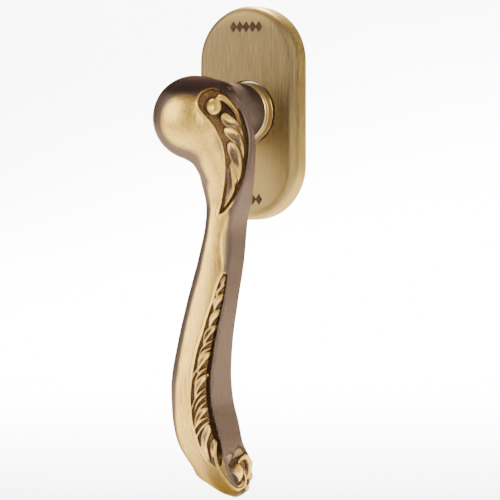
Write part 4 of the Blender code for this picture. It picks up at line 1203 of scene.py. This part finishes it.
def mark_outline(sign, grow):
    """One row of linked lozenges, as the CAD's press marks have it."""
    first = -(MARK_COUNT - 1) / 2.0 * MARK_PITCH
    upper = [(first - 0.5 * MARK_PITCH - grow, 0.0)]
    for number in range(MARK_COUNT):
        x = first + number * MARK_PITCH
        upper.append((x, MARK_HALF_HEIGHT + grow))
        if number < MARK_COUNT - 1:
            upper.append((x + 0.5 * MARK_PITCH, MARK_LINK + grow))
    upper.append((-first + 0.5 * MARK_PITCH + grow, 0.0))
    lower = [(x, -z) for x, z in upper[-2:0:-1]]
    return [(x, z + sign * MARK_CENTRE) for x, z in upper + lower]


class Shell:
    """A bmesh that grows ring by ring round the rose."""

    def __init__(self):
        self.mesh = bmesh.new()

    def ring(self, outline, height):
        verts = [self.mesh.verts.new((x * MM, -height * MM, z * MM)) for x, z in outline]
        for index, vert in enumerate(verts):
            self.mesh.edges.new((vert, verts[(index + 1) % len(verts)]))
        return verts

    def wall(self, first, second):
        for index in range(len(first)):
            after = (index + 1) % len(first)
            self.mesh.faces.new((first[index], first[after], second[after], second[index]))

    def walls(self, rings):
        for first, second in zip(rings, rings[1:]):
            self.wall(first, second)

    def fill(self, loops):
        """A flat face inside the first loop and outside the others."""
        edges = []
        for loop in loops:
            edges += [self.mesh.edges.get(pair) for pair in zip(loop, loop[1:] + loop[:1])]
        bmesh.ops.triangle_fill(self.mesh, use_beauty=True, edges=edges)

    def piece(self, name, material):
        bmesh.ops.recalc_face_normals(self.mesh, faces=self.mesh.faces)
        mesh = bpy.data.meshes.new(name)
        self.mesh.to_mesh(mesh)
        self.mesh.free()
        mesh.shade_smooth()
        return linked(name, mesh, material)


def rounded(centre_radius, centre_height, reach, start, end, steps):
    """(radius, height) pairs on a quarter round; angles are in degrees from level."""
    pairs = []
    for step in range(steps + 1):
        angle = math.radians(start + (end - start) * step / steps)
        pairs.append((centre_radius + reach * math.cos(angle), centre_height + reach * math.sin(angle)))
    return pairs


def circle(radius, around=96):
    return [(radius * math.cos(2 * math.pi * step / around), radius * math.sin(2 * math.pi * step / around))
            for step in range(around)]


def engraved(shell, sign):
    """One engraved mark: its lip, its sides and its bottom. Gives back the lip's ring."""
    lip = shell.ring(mark_outline(sign, MARK_LIP), ROSE_HEIGHT)
    edge = shell.ring(mark_outline(sign, MARK_EDGE), ROSE_HEIGHT - MARK_LIP_DEPTH)
    bottom = shell.ring(mark_outline(sign, MARK_EDGE), ROSE_HEIGHT - MARK_DEPTH)
    shell.walls((lip, edge, bottom))
    shell.fill([bottom])
    return lip


def rose_shell(material):
    """The oval cover, with its rounded front edge, the neck's hole and the two engraved marks."""
    shell = Shell()
    front_flat = ROSE_RADIUS - ROSE_ROUND
    outer = [(ROSE_RADIUS - FOOT_CHAMFER, ROSE_FOOT), (ROSE_RADIUS, ROSE_FOOT + FOOT_CHAMFER),
             (ROSE_RADIUS, 0.5 * ROSE_HEIGHT)]
    outer += rounded(front_flat, ROSE_HEIGHT - ROSE_ROUND, ROSE_ROUND, 0.0, 84.0, 12)
    outer.append((front_flat - 0.02, ROSE_HEIGHT))
    rings = [shell.ring(stadium(radius), height) for radius, height in outer]
    shell.walls(rings)
    hole = [shell.ring(circle(ROSE_HOLE + HOLE_CHAMFER), ROSE_HEIGHT),
            shell.ring(circle(ROSE_HOLE), ROSE_HEIGHT - HOLE_CHAMFER),
            shell.ring(circle(ROSE_HOLE), ROSE_HEIGHT - ROSE_WALL)]
    shell.walls(hole)
    marks = [engraved(shell, sign) for sign in (1.0, -1.0)]
    shell.fill([rings[-1], hole[0]] + marks)
    inner = ROSE_RADIUS - ROSE_WALL
    ceiling = ROSE_HEIGHT - ROSE_WALL
    corner = ((inner, ROSE_FOOT), (inner, ceiling - LINING_CHAMFER), (inner - LINING_CHAMFER, ceiling))
    lining = [shell.ring(stadium(radius), height) for radius, height in corner]
    shell.walls([rings[0]] + lining)
    shell.fill([lining[-1], hole[-1]])
    item = shell.piece("rose_shell", material)
    sharpened(item, 24.0)
    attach(item, "cover")
    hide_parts("rose_cover")
    return item


def collar_ring(material):
    """The turned collar between the neck and the rose, with its bright cone and two fine lines."""
    item = lathe("collar_ring", COLLAR_PROFILE, 192, material, "handle")
    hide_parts("neck_collar")
    sharpened(item, 30.0)
    return item


# ---------------------------------------------------------------- materials


def colour(code):
    """Linear colour from a hex code."""
    parts = [int(code[place:place + 2], 16) / 255.0 for place in (0, 2, 4)]
    linear = [part / 12.92 if part <= 0.04045 else ((part + 0.055) / 1.055) ** 2.4 for part in parts]
    return (*linear, 1.0)


class Look:
    """A material under construction: a Principled shader with short ways to feed it."""

    def __init__(self, name):
        self.material = bpy.data.materials.new(name)
        self.material.use_nodes = True
        self.nodes = self.material.node_tree.nodes
        self.links = self.material.node_tree.links
        self.shader = self.nodes["Principled BSDF"]
        self.place = self.nodes.new("ShaderNodeTexCoord").outputs["Object"]

    def put(self, target, value):
        """Feed an input from another node's output, or set it to a constant."""
        if isinstance(value, bpy.types.NodeSocket):
            self.links.new(value, target)
        else:
            target.default_value = value

    def stretched(self, scale):
        """The object's place, times a scale for each axis or one for all three."""
        node = self.nodes.new("ShaderNodeMapping")
        node.inputs["Scale"].default_value = scale if isinstance(scale, tuple) else (scale,) * 3
        self.links.new(self.place, node.inputs["Vector"])
        return node.outputs["Vector"]

    def noise(self, scale, detail=3.0, roughness=0.55, distortion=0.0):
        """Noise whose cells per metre are given for each axis, or once for all three."""
        node = self.nodes.new("ShaderNodeTexNoise")
        self.links.new(self.stretched(scale), node.inputs["Vector"])
        node.inputs["Scale"].default_value = 1.0
        node.inputs["Detail"].default_value = detail
        node.inputs["Roughness"].default_value = roughness
        node.inputs["Distortion"].default_value = distortion
        return node.outputs["Fac"]

    def pits(self, scale):
        node = self.nodes.new("ShaderNodeTexVoronoi")
        self.links.new(self.stretched(scale), node.inputs["Vector"])
        node.inputs["Scale"].default_value = 1.0
        return node.outputs["Distance"]

    def ramp(self, value, *stops):
        node = self.nodes.new("ShaderNodeValToRGB")
        self.links.new(value, node.inputs["Fac"])
        elements = node.color_ramp.elements
        while len(elements) < len(stops):
            elements.new(0.5)
        for element, (position, tone) in zip(elements, stops):
            element.position = position
            element.color = colour(tone) if isinstance(tone, str) else (tone, tone, tone, 1.0)
        return node.outputs["Color"]

    def mix(self, share, first, second):
        node = self.nodes.new("ShaderNodeMix")
        node.data_type = "RGBA"
        self.put(node.inputs["Factor"], share)
        self.put(node.inputs["A"], first)
        self.put(node.inputs["B"], second)
        return node.outputs["Result"]

    def stained(self, tone, value, low, high, most, stain):
        """A tone with up to this much of a stain, as a value rises from low to high."""
        return self.mix(self.ranged(value, low, high, 0.0, most), tone, colour(stain))

    def math(self, operation, first, second, clamp=False):
        node = self.nodes.new("ShaderNodeMath")
        node.operation = operation
        node.use_clamp = clamp
        self.put(node.inputs[0], first)
        self.put(node.inputs[1], second)
        return node.outputs["Value"]

    def varied(self, share, noise, most):
        """A share from 0 to 1, made uneven by a noise by this much either way."""
        return self.math("ADD", share, self.ranged(noise, 0.2, 0.8, -most, most), clamp=True)

    def ranged(self, value, low, high, to_low, to_high):
        """A value eased from one range into another, and held at its ends."""
        node = self.nodes.new("ShaderNodeMapRange")
        node.interpolation_type = "SMOOTHSTEP"
        self.links.new(value, node.inputs["Value"])
        for label, number in (("From Min", low), ("From Max", high), ("To Min", to_low), ("To Max", to_high)):
            node.inputs[label].default_value = number
        return node.outputs["Result"]

    def level(self):
        """Height up the object, in metres."""
        node = self.nodes.new("ShaderNodeSeparateXYZ")
        self.links.new(self.place, node.inputs[0])
        return node.outputs["Z"]

    def attribute(self, name):
        node = self.nodes.new("ShaderNodeAttribute")
        node.attribute_name = name
        return node.outputs["Fac"]

    def bump(self, height, distance, strength=1.0, under=None):
        node = self.nodes.new("ShaderNodeBump")
        node.inputs["Strength"].default_value = strength
        node.inputs["Distance"].default_value = distance
        self.links.new(height, node.inputs["Height"])
        if under:
            self.links.new(under, node.inputs["Normal"])
        return node.outputs["Normal"]

    def finish(self, base, roughness, metallic, normal=None):
        self.put(self.shader.inputs["Base Color"], base)
        self.put(self.shader.inputs["Roughness"], roughness)
        self.put(self.shader.inputs["Metallic"], metallic)
        if normal:
            self.put(self.shader.inputs["Normal"], normal)
        return self.material


def patinated_brass():
    """Cast brass: brushed gold fronts, brown satin sides, and dark pitted patina in crevices that also lays
    painted shade; the shade mask mixes in a painted shade tone.
    """
    look = Look("patinated_brass")
    streaks = look.noise((2600.0, 2600.0, 120.0), 4.0, 0.62)
    broad = look.noise((150.0, 150.0, 60.0), 3.0)
    grain = look.noise(2600.0, 3.0, 0.7)
    pores = look.pits(2300.0)
    gold_tone = look.ramp(streaks, (0.30, GOLD_LOW), (0.52, GOLD_MIDDLE), (0.74, GOLD_HIGH))
    gold_tone = look.stained(gold_tone, broad, 0.35, 0.7, 0.30, GOLD_MELLOW)
    brown_tone = look.ramp(grain, (0.25, BROWN_LOW), (0.60, BROWN_MIDDLE), (0.85, BROWN_HIGH))
    dark_tone = look.ramp(pores, (0.10, DARK_LOW), (0.55, DARK_MIDDLE), (0.95, DARK_HIGH))
    gold_share = look.varied(look.attribute("gold"), streaks, 0.05)
    dark_share = look.varied(look.attribute("grime"), grain, 0.06)
    shade = look.attribute("shade")
    metal = look.mix(look.ranged(gold_share, 0.06, 0.94, 0.0, 1.0), brown_tone, gold_tone)
    # The dark pitted tone as patina and painted shade, then the painted shade tone over the shade mask.
    base = look.mix(look.ranged(dark_share, 0.08, 0.92, 0.0, 1.0), metal, dark_tone)
    base = look.mix(shade, base, colour(SHADE_TONE))
    smooth_part = look.ranged(gold_share, 0.0, 1.0, 0.47, 0.35)
    roughness = look.math("ADD", smooth_part, look.ranged(dark_share, 0.1, 1.0, 0.0, 0.24))
    roughness = look.math("ADD", roughness, look.ranged(streaks, 0.2, 0.8, -0.04, 0.05))
    roughness = look.math("ADD", roughness, look.ranged(shade, 0.1, 0.9, 0.0, 0.35), clamp=True)
    clean = look.ranged(dark_share, 0.2, 1.0, 0.96, 0.45)
    metallic = look.math("MINIMUM", clean, look.ranged(gold_share, 0.0, 0.8, 0.88, 0.96))
    look.shader.inputs["Specular Tint"].default_value = colour(EDGE_TINT)
    brushed = look.bump(streaks, 0.000012, 0.6)
    cast = look.bump(grain, 0.000010, 0.5, brushed)
    return look.finish(base, roughness, metallic, cast)


def brushed_brass():
    """The rose's sheet brass, brushed up and down with fine dark streaks."""
    look = Look("brushed_brass")
    fine = look.noise((5200.0, 900.0, 170.0), 4.0, 0.65)
    long_streaks = look.noise((1900.0, 500.0, 42.0), 3.0, 0.6)
    broad = look.noise((90.0, 90.0, 45.0), 2.0)
    tone = look.ramp(fine, (0.28, ROSE_LOW), (0.50, ROSE_MIDDLE), (0.72, ROSE_HIGH))
    tone = look.stained(tone, long_streaks, 0.50, 0.72, 0.42, ROSE_STREAK)
    tone = look.stained(tone, broad, 0.35, 0.70, 0.25, ROSE_MELLOW)
    level = look.level()
    # Painted light: the rose is painted lighter towards its lower part and its top.
    tone = look.mix(look.ranged(level, -0.024, 0.006, 0.55, 0.0), tone, colour(ROSE_PAINTED_LIGHT))
    tone = look.stained(tone, level, 0.026, 0.034, 0.60, ROSE_PAINTED_LIGHT)
    roughness = look.ranged(fine, 0.25, 0.75, 0.42, 0.56)
    brushed = look.bump(fine, 0.000014, 0.7)
    brushed = look.bump(long_streaks, 0.000018, 0.5, brushed)
    look.shader.inputs["Specular Tint"].default_value = colour(ROSE_EDGE_TINT)
    return look.finish(tone, roughness, 0.97, brushed)


def turned_brass():
    """The collar: bright turned brass with fine rings and small worn spots."""
    look = Look("turned_brass")
    rings = look.noise((60.0, 3000.0, 60.0), 2.0, 0.5)
    spots = look.noise(1400.0, 3.0, 0.6)
    tone = look.ramp(rings, (0.30, "c8a566"), (0.55, "dbbd80"), (0.80, "e8d09a"))
    tone = look.stained(tone, spots, 0.62, 0.80, 0.30, "8d744a")
    roughness = look.ranged(spots, 0.3, 0.75, 0.30, 0.42)
    return look.finish(tone, roughness, 0.98, look.bump(rings, 0.000002, 0.5))


def plated_steel():
    """Zinc-plated steel with a faint spangle."""
    look = Look("plated_steel")
    cells = look.pits(520.0)
    grain = look.noise(3000.0, 3.0)
    tone = look.ramp(cells, (0.0, "9fa1a3"), (0.5, "b7b9ba"), (1.0, "c8cacb"))
    tone = look.stained(tone, grain, 0.55, 0.75, 0.35, "8d8f92")
    roughness = look.ranged(cells, 0.0, 0.9, 0.24, 0.40)
    return look.finish(tone, roughness, 0.95, look.bump(grain, 0.000008, 0.5))


def oiled_steel():
    """Blackened spring steel with an oily sheen and rubbed spots."""
    look = Look("oiled_steel")
    grain = look.noise(1800.0, 4.0, 0.65)
    patches = look.noise(350.0, 3.0)
    tone = look.ramp(patches, (0.3, "3a3836"), (0.55, "4a4744"), (0.8, "63605c"))
    roughness = look.ranged(grain, 0.3, 0.75, 0.28, 0.50)
    return look.finish(tone, roughness, 0.9, look.bump(grain, 0.000010, 0.6))


def cast_zinc():
    """As-cast zinc alloy: dull, slightly grainy, with flow marks."""
    look = Look("cast_zinc")
    grain = look.noise(1500.0, 4.0, 0.7)
    flow = look.noise((120.0, 300.0, 60.0), 3.0, 0.5, 0.8)
    tone = look.ramp(flow, (0.3, "85878a"), (0.55, "989a9d"), (0.8, "a9abad"))
    tone = look.stained(tone, grain, 0.55, 0.8, 0.4, "6f7174")
    roughness = look.ranged(grain, 0.3, 0.7, 0.42, 0.60)
    return look.finish(tone, roughness, 0.88, look.bump(grain, 0.00003, 0.6))


def nylon(name, low, high, roughness):
    """Moulded nylon with a fine spark-eroded grain."""
    look = Look(name)
    grain = look.noise(2600.0, 3.0, 0.6)
    cloud = look.noise(240.0, 2.0)
    tone = look.ramp(cloud, (0.3, low), (0.7, high))
    rough = look.ranged(grain, 0.3, 0.7, roughness - 0.08, roughness + 0.08)
    return look.finish(tone, rough, 0.0, look.bump(grain, 0.000015, 0.6))


def mark_fill():
    """Dark brown enamel in the engraved marks, matt and slightly uneven."""
    look = Look("mark_fill")
    grain = look.noise(2400.0, 3.0, 0.6)
    cloud = look.noise(600.0, 3.0)
    tone = look.ramp(cloud, (0.3, "2a1c10"), (0.55, "3a2817"), (0.8, "543c20"))
    rough = look.ranged(grain, 0.3, 0.7, 0.60, 0.80)
    look.shader.inputs["Specular IOR Level"].default_value = 0.15
    return look.finish(tone, rough, 0.0, look.bump(grain, 0.00002, 0.6))


def dress_cad_nodes():
    """Give every CAD node that still shows the material of its slot."""
    by_slot = {
        "steel": plated_steel(),
        "dark_steel": oiled_steel(),
        "zinc": cast_zinc(),
        "nylon_black": nylon("nylon_black", "141414", "222222", 0.5),
        "nylon_white": nylon("nylon_white", "cfcabb", "dedaca", 0.45),
        "enamel": mark_fill(),
    }
    for part in frame["record"]["subparts"]:
        material = by_slot.get(part["material_slot"])
        if material:
            node = frame["nodes"][part["node"]]
            node.data.materials.clear()
            node.data.materials.append(material)


# ---------------------------------------------------------------- stage, light and camera


def sweep(material):
    """A pale floor that curves up into a backdrop."""
    profile = [(FLOOR_FRONT, FLOOR_LEVEL), (SWEEP_START, FLOOR_LEVEL)]
    for step in range(1, SWEEP_STEPS + 1):
        angle = math.radians(90.0 * step / SWEEP_STEPS)
        profile.append((SWEEP_START + SWEEP_RADIUS * math.sin(angle),
                        FLOOR_LEVEL + SWEEP_RADIUS * (1.0 - math.cos(angle))))
    profile.append((SWEEP_START + SWEEP_RADIUS, BACKDROP_TOP))
    points = [(x / MM, y / MM, z / MM) for x in (-FLOOR_HALF_WIDTH, FLOOR_HALF_WIDTH) for y, z in profile]
    item = new_piece("floor", points, sheet_faces(2, len(profile)), material)
    return item


def floor_paint():
    look = Look("floor_paint")
    cloud = look.noise(6.0, 3.0)
    tone = look.ramp(cloud, (0.3, "dddcda"), (0.7, "e4e3e1"))
    return look.finish(tone, look.ranged(cloud, 0.3, 0.7, 0.75, 0.85), 0.0)


def aimed(name, data, place, aim):
    """Put a lamp or a camera at a place, in metres, and turn it to look at a point."""
    item = bpy.data.objects.new(name, data)
    bpy.context.scene.collection.objects.link(item)
    item.location = place
    item.rotation_euler = (Vector(aim) - Vector(place)).to_track_quat("-Z", "Y").to_euler()
    return item


def lamp(name, place, size, power):
    data = bpy.data.lights.new(name, "AREA")
    data.shape = "RECTANGLE"
    data.size, data.size_y = size
    data.energy = power
    aimed(name, data, place, LAMP_AIM)


def spot(name, place, aim, cone, power):
    data = bpy.data.lights.new(name, "SPOT")
    data.spot_size = math.radians(cone)
    data.spot_blend = SPOT_BLEND
    data.shadow_soft_size = SPOT_SOFTNESS
    data.energy = power
    aimed(name, data, place, aim)


def studio():
    sweep(floor_paint())
    world = bpy.data.worlds.new("studio")
    bpy.context.scene.world = world
    world.use_nodes = True
    sky = world.node_tree.nodes["Background"]
    sky.inputs["Color"].default_value = (1.0, 0.99, 0.97, 1.0)
    sky.inputs["Strength"].default_value = WORLD_LIGHT
    for description in LAMPS:
        lamp(*description)
    for description in SPOTS:
        spot(*description)


def camera():
    data = bpy.data.cameras.new("camera")
    data.lens = CAMERA_LENS
    data.sensor_width = 36.0
    data.clip_end = 20.0
    bpy.context.scene.camera = aimed("camera", data, Vector(CAMERA_PLACE) * MM, Vector(CAMERA_AIM) * MM)


def build():
    """Make every piece, then the studio and the camera."""
    brass = patinated_brass()
    carvings = [head_carving(), strip_carving(),
                scroll_carving("scroll_carving_right", RIGHT_SIDE, 1.0),
                scroll_carving("scroll_carving_left", LEFT_SIDE, LEFT_RELIEF)]
    for carving in carvings:
        carving.piece(brass, "handle")
    lever_body(carvings, brass)
    scroll_edges(brass)
    for number in range(len(ROLLS)):
        scroll_roll(number, brass)
    lever_shank(brass)
    square_end(brass)
    rose_shell(brushed_brass())
    collar_ring(turned_brass())
    dress_cad_nodes()
    studio()
    camera()


build()
